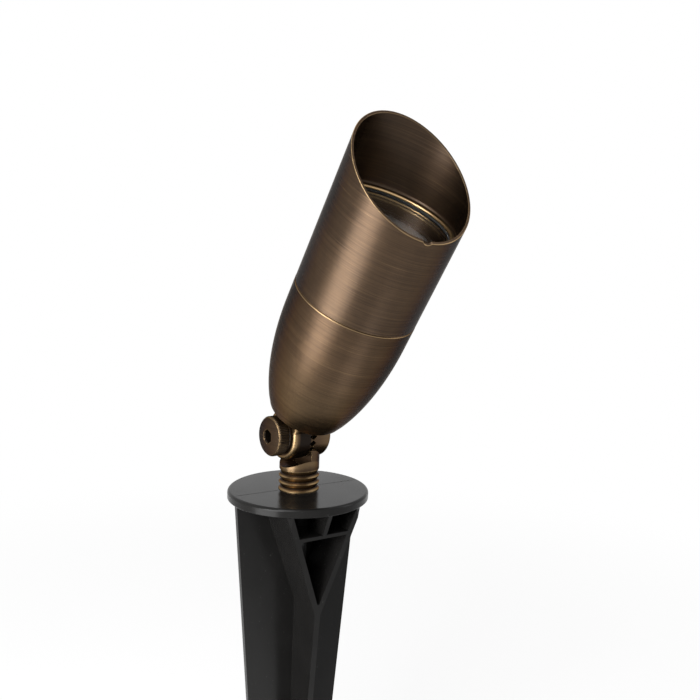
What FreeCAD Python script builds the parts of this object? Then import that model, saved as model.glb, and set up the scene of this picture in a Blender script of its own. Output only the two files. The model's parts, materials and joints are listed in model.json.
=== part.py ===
"""Garden spike spotlight: a bullet-shaped brass head on a toothed knuckle and a plastic ground spike.

Millimetres, +Z up. The origin is on the stem's axis at the ground line, which is the
underside of the spike's flange. The pivot of the knuckle lies along X, and the head
leans from upright towards -Y.

Two frames of coordinates are used. The spike, the stem and the screw are made where they
stand. The head is made upright along Z with its pivot at the origin, so that its Z values
are distances from the pivot, and is then leaned and lifted into place by in_head().
"""
import FreeCAD, Part
import math
import os

from FreeCAD import Vector

# ---- spike: flange, blade, walls ----
FLANGE_R = 36.9
FLANGE_TOP = 4.4
FLANGE_ROUND = 1.4
RIM_STEP = 0.4           # the rim's foot stands this much below the flange's underside
RIM_FOOT_WIDTH = 1.4
RIM_CHAMFER = 0.4
SPIKE_LENGTH = 215.0
SPIKE_TURN = -8.3        # the blade is turned this far from the pivot's direction
SHOULDER_DEPTH = 132.0   # below it the blades run straight to the tip
TIP_HALF = 1.2
BLADE_HALF = 34.9        # half width of the blade at the ground line
BLADE_DRAFT = 5.0        # degrees each edge leans inward
BLADE_THICK = 3.0
CROSS_HALF = 30.6        # how far walls and cross fin stand out at the ground line
CROSS_DRAFT = 5.6
CROSS_THICK = 3.0
WALL_HALF_GAP = 19.2     # from the axis to the middle of each slanted wall at the ground line
WALL_MEET_DEPTH = 54.5   # where the two slanted walls meet
WALL_THICK = 3.0
SHELF_DEPTH = 12.7
SHELF_THICK = 1.8
GUSSET_THICK = 2.2
GUSSET_REACH = 35.4
BOSS_WALL = 2.7
BOSS_DEPTH = 18.0
SOCKET_DEPTH = 14.0      # how deep the stem goes into the boss
WIRE_HOLE_R = 6.0
WINDOW_HALF = 5.0        # cable window through the blade below the boss
WINDOW_BOTTOM = 34.0

# ---- stem and lower knuckle ----
STEM_R = 10.65
STEM_NECK_R = 10.45
STEM_CLEARANCE = 0.08
STEM_FLOOR_GAP = 0.3
STEM_BORE_R = 6.0
RING_COUNT = 3
RING_PITCH = 3.5
RING_FIRST = 0.3         # first crest above the flange
RING_RETURN = 1.2        # from a crest up to the groove's root
RING_ROOT_R = 9.3
PIVOT_RISE = 29.4        # pivot above the flange's top
SEAT_R = 17.0            # cylindrical seat below the barrel, about the pivot
SEAT_FLOOR = 2.0
POST_FACE = 0.1          # inner face of the ear's post
EAR_R = 13.0
EAR_ROUND = 1.2
POST_PASSAGE_R = 2.2
POST_PASSAGE_X = 3.9

# ---- teeth, seal and screw of the knuckle ----
TOOTH_COUNT = 22
TOOTH_DEPTH = 2.1
TOOTH_GAP = 0.15         # between facing tips
TOOTH_PHASE = 7.5        # degrees from +Y to the first tip
TOOTH_RING_R = 10.2      # inner radius of the ring of teeth
TIP_PLANE = -0.775       # the plane midway between facing tips
CHAMBER_R = 7.0
EAR_CHAMBER_DEPTH = 4.65
O_RING_R = 8.6
O_RING_GAP = 0.06
SCREW_R = 4.0
SCREW_CLEARANCE = 0.06
SCREW_HEAD_R = 10.2
SCREW_HEAD_THICK = 6.3
SCREW_HEAD_CHAMFER = 0.4
SCREW_END_GAP = 0.3      # the shank ends this much short of the ear's face
SCREW_DOME = 1.2         # rise of the head's face
KNURL_COUNT = 72
KNURL_DEPTH = 0.35
HEX_FLATS = 6.0
HEX_DEPTH = 4.6          # from the top of the dome
HEX_CHAMFER = 0.5
WASHER_R = 9.4
WASHER_THICK = 0.8
WASHER_BORE_GAP = 0.2
NUT_FLATS = 13.0
NUT_THICK = 4.0
NUT_GAP = 0.1

# ---- upper knuckle ----
BARREL_R = 13.0
BARREL_LENGTH = 10.4     # from its land behind the teeth to its end
BARREL_ROUND = 2.3
BARREL_CHAMBER_DEPTH = 6.6
NECK_HALF_WIDTH = 9.5
NECK_ROUND = 2.0
HUB_R = 11.0
HUB_GAP = 0.3            # hub's underside clears the ear by this
HUB_THICK = 1.6
HUB_STUB_R = 6.6
HUB_STUB_LENGTH = 12.0
HUB_STUB_GAP = 0.05
HUB_PASSAGE_R = 2.8
HUB_GASKET_THICK = 0.6
HUB_GASKET_R = 10.6
LOCKNUT_FLATS = 19.0
LOCKNUT_THICK = 4.5
SEAL_R = 4.6
SEAL_LENGTH = 7.0
LEAD_R = 0.9
LEAD_HALF_GAP = 2.0

# ---- head: body and hood ----
HEAD_X = -3.1            # the head's axis stands off the stem's axis
HEAD_LEAN = 2 * 360.0 / TOOTH_COUNT   # two teeth from upright
BODY_R = 30.2
BODY_WALL = 2.2
BODY_END_WALL = 2.8
BODY_END_ROUND = 2.5
BODY_FULL_S = 72.0       # where the bullet reaches its full radius
BODY_NOSE = 72.2         # long semi-axis of the bullet's ellipse
SEAM_S = 84.8
SEAM_CHAMFER = 0.5
SEAM_GAP = 0.15
SPIGOT_WALL = 3.6
SPIGOT_LENGTH = 12.0
HOUSING_RING_R = 1.05
HOUSING_RING_GAP = 0.03
GROOVE_WIDTH = 2.4
GROOVE_SPACING = 3.8
BOSS_R = 3.5
BOSS_INSET = 8.0         # from the body's inner wall to the middle of a boss
BOSS_FOOT_S = 30.0
HOOD_STEP = 0.1          # the hood is this much slimmer than the body
HOOD_WALL = 1.2
HOOD_THREAD_WALL = 2.52  # wall of the hood's threaded part
HOOD_THREAD_GAP = 0.08
HOOD_THREAD_RELIEF = 1.5
HOOD_SHORT_S = 131.5     # end of the hood's short side
HOOD_LONG_S = 164.1      # end of its long side
HOOD_TURN = -11.4        # long side, turned from the back of the head
HOOD_EDGE = 0.35
NOTCH_R = 3.2
NOTCH_RISE = 2.2
LEDGE_WIDTH = 3.0        # how far the ledge stands in from the wall
LEDGE_THICK = 1.2
LEDGE_CORNER = 1.5       # hollow corner between ledge and wall
LEDGE_ROUND = 0.8

# ---- lens pack ----
LENS_GAP = 0.2
LENS_THICK = 3.0
LENS_CHAMFER = 0.4
LENS_SEAT_GAP = 0.05
LENS_GASKET_THICK = 0.7
LENS_GASKET_WIDTH = 3.1
LENS_UNDER_LEDGE_S = 128.9
RETAINER_THICK = 3.0
RETAINER_WIDTH = 3.7

# ---- lamp ----
LAMP_GAP = 3.9           # between the lamp's rim and the hood's wall
LAMP_RIM_THICK = 3.0
LAMP_FRONT_S = 119.5
LAMP_RIM_STEP = 0.7      # the rim stands out this much from the shell
LAMP_SHELL_NOSE = 38.0
LAMP_SHELL_WALL = 1.2
LAMP_FOOT_S = 83.0
OPTIC_RECESS = 1.0
OPTIC_THICK = 3.6
OPTIC_DOME = 0.6
OPTIC_GAP = 0.1
LED_COUNT = 3
LED_CIRCLE_R = 8.5
LED_SIDE = 4.6
LED_HEIGHT = 0.9
COLLIMATOR_TOP_R = 7.0
COLLIMATOR_FOOT_R = 3.4
COLLIMATOR_GAP = 0.3
BOARD_R = 16.0
BOARD_S = 99.0
BOARD_THICK = 1.6
DRIVER_R = 9.0
BASE_FLANGE_R = 12.5
BASE_FLANGE_THICK = 3.0
BASE_HALF_X = 8.5
BASE_HALF_Y = 5.0
BASE_FOOT_S = 71.0
PIN_R = 0.8
PIN_HALF_GAP = 2.665
PIN_LENGTH = 6.5

# ---- lampholder ----
HOLDER_HALF_X = 12.0
HOLDER_HALF_Y = 5.5
HOLDER_ROUND = 1.5
HOLDER_HEIGHT = 13.5
HOLDER_GAP = 0.5         # between the holder's top and the lamp's base
CONTACT_R = 1.6
CONTACT_CLEARANCE = 0.05
CONTACT_LENGTH = 11.0
STRAP_THICK = 1.2
STRAP_END = 3.5          # strap past the middle of its end screws
STRAP_HALF_Y = 6.0
STRAP_HOLE_R = 4.0
HOLDER_SCREW_OFFSET = 9.0
SCREW3_R = 1.45          # the small screws' shank
SCREW3_HEAD_R = 2.7
SCREW3_HEAD = 1.8
SCREW3_FLATS = 2.3
SCREW3_GAP = 0.05
BRACKET_SCREW_LENGTH = 8.0
HOLDER_SCREW_END = 1.2   # shank below the strap
SCREW3_HOLE_END = 1.0    # a blind hole is this much deeper than its screw

# ---- worked out from the sizes above ----
PIVOT_Z = FLANGE_TOP + PIVOT_RISE
EAR_LAND = TIP_PLANE + (TOOTH_GAP + TOOTH_DEPTH) / 2
BARREL_LAND = TIP_PLANE - (TOOTH_GAP + TOOTH_DEPTH) / 2
EAR_OUTER = STEM_NECK_R
BARREL_END = BARREL_LAND - BARREL_LENGTH
SCREW_SEAT = BARREL_END - WASHER_THICK
BARREL_CHAMBER_X = BARREL_LAND - BARREL_CHAMBER_DEPTH
HUB_S = EAR_R + HUB_GAP
HUB_TOP_S = HUB_S + HUB_THICK
BODY_END_S = HUB_TOP_S + HUB_GASKET_THICK
BODY_FLOOR_S = BODY_END_S + BODY_END_WALL
HUB_STUB_TOP_S = HUB_TOP_S + HUB_STUB_LENGTH
BODY_INNER_R = BODY_R - BODY_WALL
BOSS_OFFSET = BODY_INNER_R - BOSS_INSET
STRAP_HALF_X = BOSS_OFFSET + STRAP_END
HOOD_R = BODY_R - HOOD_STEP
HOOD_BORE_R = HOOD_R - HOOD_WALL
THREAD_BORE_R = HOOD_R - HOOD_THREAD_WALL
SPIGOT_R = THREAD_BORE_R - HOOD_THREAD_GAP
SPIGOT_BORE_R = SPIGOT_R - SPIGOT_WALL
SPIGOT_TOP_S = SEAM_S + SPIGOT_LENGTH
LEDGE_R = HOOD_BORE_R - LEDGE_WIDTH
LENS_R = HOOD_BORE_R - LENS_GAP
LENS_GASKET_R = LENS_R - LENS_GASKET_WIDTH
RETAINER_R = HOOD_BORE_R - RETAINER_WIDTH
LAMP_R = HOOD_BORE_R - LAMP_GAP
LAMP_SHELL_R = LAMP_R - LAMP_RIM_STEP
GROOVE_S = [SEAM_S + (i + 0.6) * GROOVE_SPACING for i in range(2)]
HOLDER_TOP_S = BASE_FOOT_S - HOLDER_GAP
HOLDER_FOOT_S = HOLDER_TOP_S - HOLDER_HEIGHT
BOSS_TOP_S = HOLDER_FOOT_S - STRAP_THICK
LENS_TOP_S = LENS_UNDER_LEDGE_S - LENS_GASKET_THICK
LENS_FOOT_S = LENS_TOP_S - LENS_THICK
OPTIC_TOP_S = LAMP_FRONT_S - OPTIC_RECESS
BOARD_TOP_S = BOARD_S + BOARD_THICK

X_AXIS = Vector(1, 0, 0)
Y_AXIS = Vector(0, 1, 0)
Z_AXIS = Vector(0, 0, 1)
ORIGIN = Vector(0, 0, 0)
FAR = 60.0               # reach of the cutting tools past everything they cut
OVERRUN = 1.0            # a cut starts and ends this much outside its solid
FAN = 1.6                # the tooth wedges reach this many disc radii
SNAG = 1.5               # two passages cross this deep
RIB_MARGIN = 0.1         # between the ribs' ends and the rim's foot
HEX_CORNER = 1 / math.cos(math.pi / 6)   # across corners over across flats
SAME = 1e-4              # places closer than this are one place


# ---- shape helpers ----
def closed_face(points):
    """A flat face whose outline joins the points in order."""
    return Part.Face(Part.makePolygon([Vector(*p) for p in points] + [Vector(*points[0])]))


def turned(points):
    """A solid turned about Z from an outline of (radius, z) points."""
    return closed_face([(r, 0, z) for r, z in points]).revolve(ORIGIN, Z_AXIS, 360)


def plate_xz(points, y_low, y_high):
    """A plate from an outline of (x, z) points, between two y values."""
    return closed_face([(x, y_low, z) for x, z in points]).extrude(Vector(0, y_high - y_low, 0))


def plate_yz(points, x_low, x_high):
    """A plate from an outline of (y, z) points, between two x values."""
    return closed_face([(x_low, y, z) for y, z in points]).extrude(Vector(x_high - x_low, 0, 0))


def block(x_half, y_half, z_low, z_high):
    """A box centred on the Z axis."""
    return Part.makeBox(2 * x_half, 2 * y_half, z_high - z_low, Vector(-x_half, -y_half, z_low))


def rod(radius, z_low, z_high, x=0.0, y=0.0):
    """An upright cylinder."""
    return Part.makeCylinder(radius, z_high - z_low, Vector(x, y, z_low))


def tube(inner, outer, z_low, z_high):
    """An upright tube about the Z axis."""
    return turned([(inner, z_low), (outer, z_low), (outer, z_high), (inner, z_high)])


def hexagon(flats, z_low, z_high):
    """An upright hexagonal prism, its size taken across the flats."""
    corner = flats / 2 * HEX_CORNER
    points = [(corner * math.cos(i * math.pi / 3), corner * math.sin(i * math.pi / 3), z_low)
              for i in range(6)]
    return closed_face(points).extrude(Vector(0, 0, z_high - z_low))


def upright_edges(shape):
    """The straight edges along Z."""
    return [e for e in shape.Edges if abs(e.tangentAt(e.FirstParameter).z) > 1 - SAME]


def circles_at(shape, z, radius):
    """The circular edges of one radius at one height."""
    return [e for e in shape.Edges
            if isinstance(e.Curve, Part.Circle) and abs(e.Curve.Radius - radius) < SAME
            and abs(e.Curve.Center.z - z) < SAME]


def cap(radius, rise, z):
    """A shallow part of a ball standing on z. A negative rise hangs it below z."""
    ball_r = (radius ** 2 + rise ** 2) / (2 * rise)
    ball = Part.makeSphere(abs(ball_r), Vector(0, 0, z + rise - ball_r))
    return ball.common(rod(radius, min(z, z + rise), max(z, z + rise)))


def bullet(radius, nose, full_z, end_z, top_z):
    """A turned solid whose side is a quarter ellipse below full_z and a cylinder above it.

    The ellipse has the semi-axes radius and nose, and is cut flat at end_z.
    """
    centre = Vector(0, 0, full_z)
    ellipse = Part.Ellipse(Vector(0, 0, full_z - nose), Vector(radius, 0, full_z), centre)
    angle = math.acos((full_z - end_z) / nose)
    side = Part.ArcOfEllipse(ellipse, angle, math.pi / 2).toShape()
    end_r = radius * math.sin(angle)
    corners = [Vector(radius, 0, full_z), Vector(radius, 0, top_z), Vector(0, 0, top_z),
               Vector(0, 0, end_z), Vector(end_r, 0, end_z)]
    lines = [Part.LineSegment(a, b).toShape() for a, b in zip(corners, corners[1:])]
    return Part.Face(Part.Wire([side] + lines)).revolve(ORIGIN, Z_AXIS, 360)


def bullet_radius(radius, nose, full_z, z):
    """The radius of bullet()'s ellipse at a height."""
    return radius * math.sqrt(1 - ((full_z - z) / nose) ** 2)


def along_x(shape):
    """Lays a shape made along Z along X: its z values become x values."""
    return shape.rotated(ORIGIN, Y_AXIS, 90)


def at_pivot(shape):
    """Lifts a shape made about the X axis to the pivot."""
    return shape.translated(Vector(0, 0, PIVOT_Z))


def in_head(shape):
    """Leans a shape made upright over the pivot, and lifts it to the pivot."""
    return at_pivot(shape.rotated(ORIGIN, X_AXIS, HEAD_LEAN))


def on_head_axis(shape):
    """Places a shape made about the head's own axis."""
    return in_head(shape.translated(Vector(HEAD_X, 0, 0)))


def both_sides(make, offset):
    """Two copies of a shape, at plus and minus an offset along X."""
    return Part.makeCompound([make(offset), make(-offset)])


# ---- teeth of the knuckle ----
def toothed_space(mid, side):
    """The space on one side of a ring of radial teeth about Z.

    Every tooth is a wedge that shrinks to nothing at the axis, where its height is mid.
    Side is +1 for the space above the teeth and -1 for the space below them.
    """
    fan_r = FAN * EAR_R
    rise = TOOTH_DEPTH / 2 * fan_r / EAR_R
    base = mid + side * FAR
    step = math.pi / TOOTH_COUNT
    rim = []
    for i in range(2 * TOOTH_COUNT):
        angle = math.radians(TOOTH_PHASE + 90) + i * step
        tip = -side if i % 2 == 0 else side
        rim.append((fan_r * math.cos(angle), fan_r * math.sin(angle), mid + tip * rise))
    faces = []
    for a, b in zip(rim, rim[1:] + rim[:1]):
        faces.append(closed_face([(0, 0, mid), a, b]))
        faces.append(closed_face([a, b, (b[0], b[1], base), (a[0], a[1], base)]))
    faces.append(closed_face([(x, y, base) for x, y, _ in rim]))
    solid = Part.makeSolid(Part.makeShell(faces))
    solid.fixTolerance(1e-6)
    return solid if solid.Volume > 0 else solid.reversed()


def toothed_disc(outer_r, land, end, rounding, side):
    """A disc from land to end, with a ring of teeth around its land and a rounded end."""
    foot = land - side * TOOTH_DEPTH
    disc = rod(outer_r, min(foot, end), max(foot, end))
    disc = disc.makeFillet(rounding, circles_at(disc, end, outer_r))
    core = rod(TOOTH_RING_R, min(foot, end), max(foot, end))
    ring = disc.cut(core).common(toothed_space(land, side))
    middle = rod(TOOTH_RING_R, min(land, end), max(land, end))
    return middle.common(disc).fuse(ring).removeSplitter()


# ---- spike ----
def blade_half(depth):
    return BLADE_HALF - depth * math.tan(math.radians(BLADE_DRAFT))


def cross_half(depth):
    return CROSS_HALF - depth * math.tan(math.radians(CROSS_DRAFT))


def wall_middle(depth):
    """Distance from the axis to the middle of a slanted wall."""
    return WALL_HALF_GAP * (1 - depth / WALL_MEET_DEPTH)


def dart(half_top, half_shoulder, top):
    """Outline of a blade that narrows to the shoulder and then runs straight to the tip."""
    right = [(half_top, top), (half_top, 0), (half_shoulder, -SHOULDER_DEPTH),
             (TIP_HALF, -SPIKE_LENGTH)]
    return right + [(-x, z) for x, z in reversed(right)]


def slanted_walls(top):
    """The two walls across the blade, which lean in and meet below the boss."""
    foot = -WALL_MEET_DEPTH
    half = WALL_THICK / 2
    walls = []
    for sign in (1, -1):
        outline = [(sign * (WALL_HALF_GAP - half), top), (sign * (WALL_HALF_GAP + half), top),
                   (sign * (WALL_HALF_GAP + half), 0), (sign * half, foot),
                   (-sign * half, foot), (sign * (WALL_HALF_GAP - half), 0)]
        walls.append(plate_xz(outline, -CROSS_HALF, CROSS_HALF))
    return walls


def shelf():
    """The level rib between the two slanted walls."""
    return block(wall_middle(SHELF_DEPTH), CROSS_HALF,
                 -SHELF_DEPTH - SHELF_THICK / 2, -SHELF_DEPTH + SHELF_THICK / 2)


def gusset(top):
    """The rib across the middle, from the flange's rim down to the shelf."""
    front = cross_half(SHELF_DEPTH)
    outline = [(-GUSSET_REACH, top), (GUSSET_REACH, top), (GUSSET_REACH, RIM_STEP),
               (front, -SHELF_DEPTH), (-front, -SHELF_DEPTH), (-GUSSET_REACH, RIM_STEP)]
    return plate_yz(outline, -GUSSET_THICK / 2, GUSSET_THICK / 2)


def flange():
    """The round flange, with a rounded top edge and a thin foot around its rim."""
    disc = rod(FLANGE_R, 0, FLANGE_TOP)
    disc = disc.makeFillet(FLANGE_ROUND, circles_at(disc, FLANGE_TOP, FLANGE_R))
    disc = disc.makeChamfer(RIM_CHAMFER, circles_at(disc, 0, FLANGE_R))
    return disc.cut(rod(FLANGE_R - RIM_FOOT_WIDTH, 0, RIM_STEP))


def ground_spike():
    inside_flange = (RIM_STEP + FLANGE_TOP) / 2
    rib_limit = FLANGE_R - RIM_FOOT_WIDTH - RIB_MARGIN
    blade = plate_xz(dart(BLADE_HALF, blade_half(SHOULDER_DEPTH), inside_flange),
                     -BLADE_THICK / 2, BLADE_THICK / 2)
    cross_outline = dart(CROSS_HALF, cross_half(SHOULDER_DEPTH), inside_flange)
    cross_space = plate_yz(cross_outline, -FAR, FAR)
    fin_start = -WALL_MEET_DEPTH + 2 * WALL_THICK
    fin = block(CROSS_THICK / 2, CROSS_HALF, -SPIKE_LENGTH, fin_start)
    walls = slanted_walls(inside_flange)
    across = fin.fuse(walls + [shelf()]).common(cross_space)
    ribs = blade.fuse([across, gusset(inside_flange)])
    ribs = ribs.common(rod(rib_limit, -SPIKE_LENGTH, inside_flange))
    bore_r = STEM_R + STEM_CLEARANCE
    boss = rod(bore_r + BOSS_WALL, -BOSS_DEPTH, inside_flange)
    body = flange().fuse([ribs, boss])
    window = plate_xz([(-WINDOW_HALF, -BOSS_DEPTH), (WINDOW_HALF, -BOSS_DEPTH),
                       (WINDOW_HALF, -WINDOW_BOTTOM), (-WINDOW_HALF, -WINDOW_BOTTOM)],
                      -BLADE_THICK, BLADE_THICK)
    body = body.cut([rod(bore_r, -SOCKET_DEPTH, FLANGE_TOP + OVERRUN),
                     rod(WIRE_HOLE_R, -BOSS_DEPTH - OVERRUN, 0), window])
    return body.removeSplitter().rotated(ORIGIN, Z_AXIS, SPIKE_TURN)


# ---- lower knuckle ----
def ringed_stem():
    """The stem with its grip rings: each crest is sharp, and the stem narrows below it."""
    outline = [(0, -SOCKET_DEPTH + STEM_FLOOR_GAP), (STEM_R, -SOCKET_DEPTH + STEM_FLOOR_GAP)]
    for i in range(RING_COUNT):
        crest = FLANGE_TOP + RING_FIRST + i * RING_PITCH
        outline += [(STEM_R, crest), (RING_ROOT_R, crest + RING_RETURN)]
    outline += [(STEM_NECK_R, crest + RING_PITCH), (STEM_NECK_R, PIVOT_Z), (0, PIVOT_Z)]
    return turned(outline)


def lower_knuckle():
    ear = toothed_disc(EAR_R, EAR_LAND, EAR_OUTER, EAR_ROUND, 1)
    ear = at_pivot(along_x(ear))
    seat = at_pivot(along_x(rod(SEAT_R, -FAR, POST_FACE)))
    tooth_room = at_pivot(along_x(rod(EAR_R, -FAR, EAR_LAND + TOOTH_DEPTH / 2)))
    stem = ringed_stem().cut([seat, tooth_room])
    chamber_floor = EAR_LAND + EAR_CHAMBER_DEPTH
    chamber = rod(CHAMBER_R, EAR_LAND - TOOTH_DEPTH, chamber_floor)
    screw_hole = rod(SCREW_R + SCREW_CLEARANCE, EAR_LAND, EAR_OUTER)
    nut_pocket = hexagon(NUT_FLATS + 2 * NUT_GAP, EAR_OUTER - NUT_THICK - NUT_GAP, EAR_OUTER + OVERRUN)
    bore_top = PIVOT_Z - SEAT_R - SEAT_FLOOR
    hollows = [at_pivot(along_x(h)) for h in (chamber, screw_hole, nut_pocket)]
    hollows.append(rod(STEM_BORE_R, -SOCKET_DEPTH, bore_top))
    passage_top = PIVOT_Z - CHAMBER_R + SNAG
    hollows.append(rod(POST_PASSAGE_R, bore_top - OVERRUN, passage_top, POST_PASSAGE_X))
    return stem.fuse(ear).cut(hollows).removeSplitter()


def knuckle_nut():
    nut = hexagon(NUT_FLATS, EAR_OUTER - NUT_THICK, EAR_OUTER)
    nut = nut.cut(rod(SCREW_R + SCREW_CLEARANCE, 0, EAR_OUTER + OVERRUN))
    return at_pivot(along_x(nut))


def pivot_o_ring():
    section = (EAR_LAND - BARREL_LAND) / 2 - O_RING_GAP
    ring = Part.makeTorus(O_RING_R, section, Vector(0, 0, TIP_PLANE))
    return at_pivot(along_x(ring))


# ---- thumb screw ----
def pivot_washer():
    washer = tube(SCREW_R + WASHER_BORE_GAP, WASHER_R, SCREW_SEAT, BARREL_END)
    return at_pivot(along_x(washer))


def knurled_prism(radius, low, high):
    """A round bar with fine straight knurling."""
    points = []
    for i in range(2 * KNURL_COUNT):
        r = radius - (i % 2) * KNURL_DEPTH
        angle = i * math.pi / KNURL_COUNT
        points.append((r * math.cos(angle), r * math.sin(angle), low))
    return closed_face(points).extrude(Vector(0, 0, high - low))


def thumb_screw():
    face = SCREW_SEAT - SCREW_HEAD_THICK
    flat_r = SCREW_HEAD_R - KNURL_DEPTH - SCREW_HEAD_CHAMFER
    slope = 2 * SCREW_HEAD_CHAMFER
    limit = turned([(0, face), (flat_r, face), (SCREW_HEAD_R, face + slope),
                    (SCREW_HEAD_R, SCREW_SEAT - slope), (flat_r, SCREW_SEAT), (0, SCREW_SEAT)])
    head = knurled_prism(SCREW_HEAD_R, face, SCREW_SEAT).common(limit)
    shank = rod(SCREW_R, SCREW_SEAT - OVERRUN, EAR_OUTER - SCREW_END_GAP)
    top = face - SCREW_DOME
    hex_corner = HEX_FLATS / 2 * HEX_CORNER
    mouth = turned([(0, top), (hex_corner + HEX_CHAMFER, top),
                    (hex_corner - HEX_CHAMFER, top + 2 * HEX_CHAMFER), (0, top + 2 * HEX_CHAMFER)])
    whole = head.fuse([shank, cap(flat_r, -SCREW_DOME, face)])
    screw = whole.cut([hexagon(HEX_FLATS, top - OVERRUN, top + HEX_DEPTH), mouth])
    return at_pivot(along_x(screw.removeSplitter()))


# ---- upper knuckle and hub ----
def upper_knuckle():
    barrel = along_x(toothed_disc(BARREL_R, BARREL_LAND, BARREL_END, BARREL_ROUND, -1))
    neck_length = BARREL_LAND - BARREL_END
    neck = Part.makeBox(neck_length, 2 * NECK_HALF_WIDTH, HUB_S,
                        Vector(BARREL_END, -NECK_HALF_WIDTH, 0))
    outer_edges = [e for e in upright_edges(neck) if abs(e.CenterOfMass.x - BARREL_END) < SAME]
    neck = neck.makeFillet(NECK_ROUND, outer_edges)
    hub = rod(HUB_R, HUB_S, HUB_TOP_S, HEAD_X)
    stub = rod(HUB_STUB_R, HUB_S, HUB_STUB_TOP_S, HEAD_X)
    chamber = along_x(rod(CHAMBER_R, BARREL_CHAMBER_X, BARREL_LAND + TOOTH_DEPTH))
    screw_hole = along_x(rod(SCREW_R + SCREW_CLEARANCE, BARREL_END - OVERRUN, BARREL_LAND))
    passage_x = (BARREL_CHAMBER_X + BARREL_LAND) / 2
    passage = rod(HUB_PASSAGE_R, CHAMBER_R - SNAG, HUB_STUB_TOP_S, passage_x)
    seal_seat = rod(SEAL_R, HUB_STUB_TOP_S - SEAL_LENGTH, HUB_STUB_TOP_S + OVERRUN, HEAD_X)
    whole = barrel.fuse([neck, hub, stub]).cut([chamber, screw_hole, passage, seal_seat])
    return in_head(whole.removeSplitter())


def hub_gasket():
    return on_head_axis(tube(HUB_STUB_R, HUB_GASKET_R, HUB_TOP_S, BODY_END_S))


def hub_locknut():
    nut = hexagon(LOCKNUT_FLATS, BODY_FLOOR_S, BODY_FLOOR_S + LOCKNUT_THICK)
    return on_head_axis(nut.cut(rod(HUB_STUB_R, HUB_TOP_S, HUB_STUB_TOP_S)))


def wire_seal():
    plug = rod(SEAL_R, HUB_STUB_TOP_S - SEAL_LENGTH, HUB_STUB_TOP_S)
    leads = both_sides(lambda x: rod(LEAD_R, 0, FAR, x), LEAD_HALF_GAP)
    return on_head_axis(plug.cut(leads))


def lead_wires():
    foot = HUB_STUB_TOP_S - SEAL_LENGTH
    return on_head_axis(both_sides(lambda x: rod(LEAD_R, foot, HOLDER_FOOT_S, x), LEAD_HALF_GAP))


# ---- bullet body ----
def body_housing():
    outer = bullet(BODY_R, BODY_NOSE, BODY_FULL_S, BODY_END_S, SEAM_S)
    end_r = bullet_radius(BODY_R, BODY_NOSE, BODY_FULL_S, BODY_END_S)
    outer = outer.makeFillet(BODY_END_ROUND, circles_at(outer, BODY_END_S, end_r))
    outer = outer.makeChamfer(SEAM_CHAMFER, circles_at(outer, SEAM_S, BODY_R))
    ramp_foot = SEAM_S - (BODY_INNER_R - SPIGOT_BORE_R)
    cavity = bullet(BODY_INNER_R, BODY_NOSE - BODY_WALL, BODY_FULL_S, BODY_FLOOR_S, ramp_foot)
    throat = turned([(0, ramp_foot), (BODY_INNER_R, ramp_foot), (SPIGOT_BORE_R, SEAM_S),
                     (SPIGOT_BORE_R, SPIGOT_TOP_S + OVERRUN), (0, SPIGOT_TOP_S + OVERRUN)])
    bosses = both_sides(lambda x: rod(BOSS_R, BOSS_FOOT_S, BOSS_TOP_S, x), BOSS_OFFSET)
    shell = outer.fuse(rod(SPIGOT_R, SEAM_S - OVERRUN, SPIGOT_TOP_S)).cut([cavity, throat])
    groove_r = SPIGOT_R + HOUSING_RING_GAP - 2 * HOUSING_RING_R
    grooves = [tube(groove_r, SPIGOT_R + OVERRUN, s - GROOVE_WIDTH / 2, s + GROOVE_WIDTH / 2)
               for s in GROOVE_S]
    hole_floor = BOSS_TOP_S - BRACKET_SCREW_LENGTH - SCREW3_HOLE_END
    screw_holes = both_sides(
        lambda x: rod(SCREW3_R + SCREW3_GAP, hole_floor, BOSS_TOP_S + OVERRUN, x), BOSS_OFFSET)
    hub_hole = rod(HUB_STUB_R + HUB_STUB_GAP, BODY_END_S - OVERRUN, BODY_FLOOR_S + OVERRUN)
    shell = shell.fuse(bosses.common(outer)).cut(grooves + [screw_holes, hub_hole])
    return on_head_axis(shell.removeSplitter())


def housing_o_rings():
    major = SPIGOT_R + HOUSING_RING_GAP - HOUSING_RING_R
    rings = [Part.makeTorus(major, HOUSING_RING_R, Vector(0, 0, s)) for s in GROOVE_S]
    return on_head_axis(Part.makeCompound(rings))


# ---- lampholder ----
def lamp_socket():
    holder = block(HOLDER_HALF_X, HOLDER_HALF_Y, HOLDER_FOOT_S, HOLDER_TOP_S)
    holder = holder.makeFillet(HOLDER_ROUND, upright_edges(holder))
    contact_foot = HOLDER_TOP_S - CONTACT_LENGTH
    sleeves = both_sides(lambda x: rod(CONTACT_R, contact_foot, HOLDER_TOP_S + OVERRUN, x), PIN_HALF_GAP)
    shanks = both_sides(
        lambda x: rod(SCREW3_R + SCREW3_GAP, HOLDER_FOOT_S - OVERRUN, HOLDER_TOP_S, x), HOLDER_SCREW_OFFSET)
    head_floor = HOLDER_TOP_S - SCREW3_HEAD - HOLDER_GAP
    heads = both_sides(
        lambda x: rod(SCREW3_HEAD_R + SCREW3_GAP, head_floor, HOLDER_TOP_S + OVERRUN, x),
        HOLDER_SCREW_OFFSET)
    return on_head_axis(holder.cut([sleeves, shanks, heads]))


def socket_contacts():
    foot = HOLDER_TOP_S - CONTACT_LENGTH
    inner = PIN_R + CONTACT_CLEARANCE

    def sleeve(x):
        outer = rod(CONTACT_R, foot, HOLDER_TOP_S, x)
        return outer.cut(rod(inner, BASE_FOOT_S - PIN_LENGTH, HOLDER_TOP_S, x))

    return on_head_axis(both_sides(sleeve, PIN_HALF_GAP))


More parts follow.
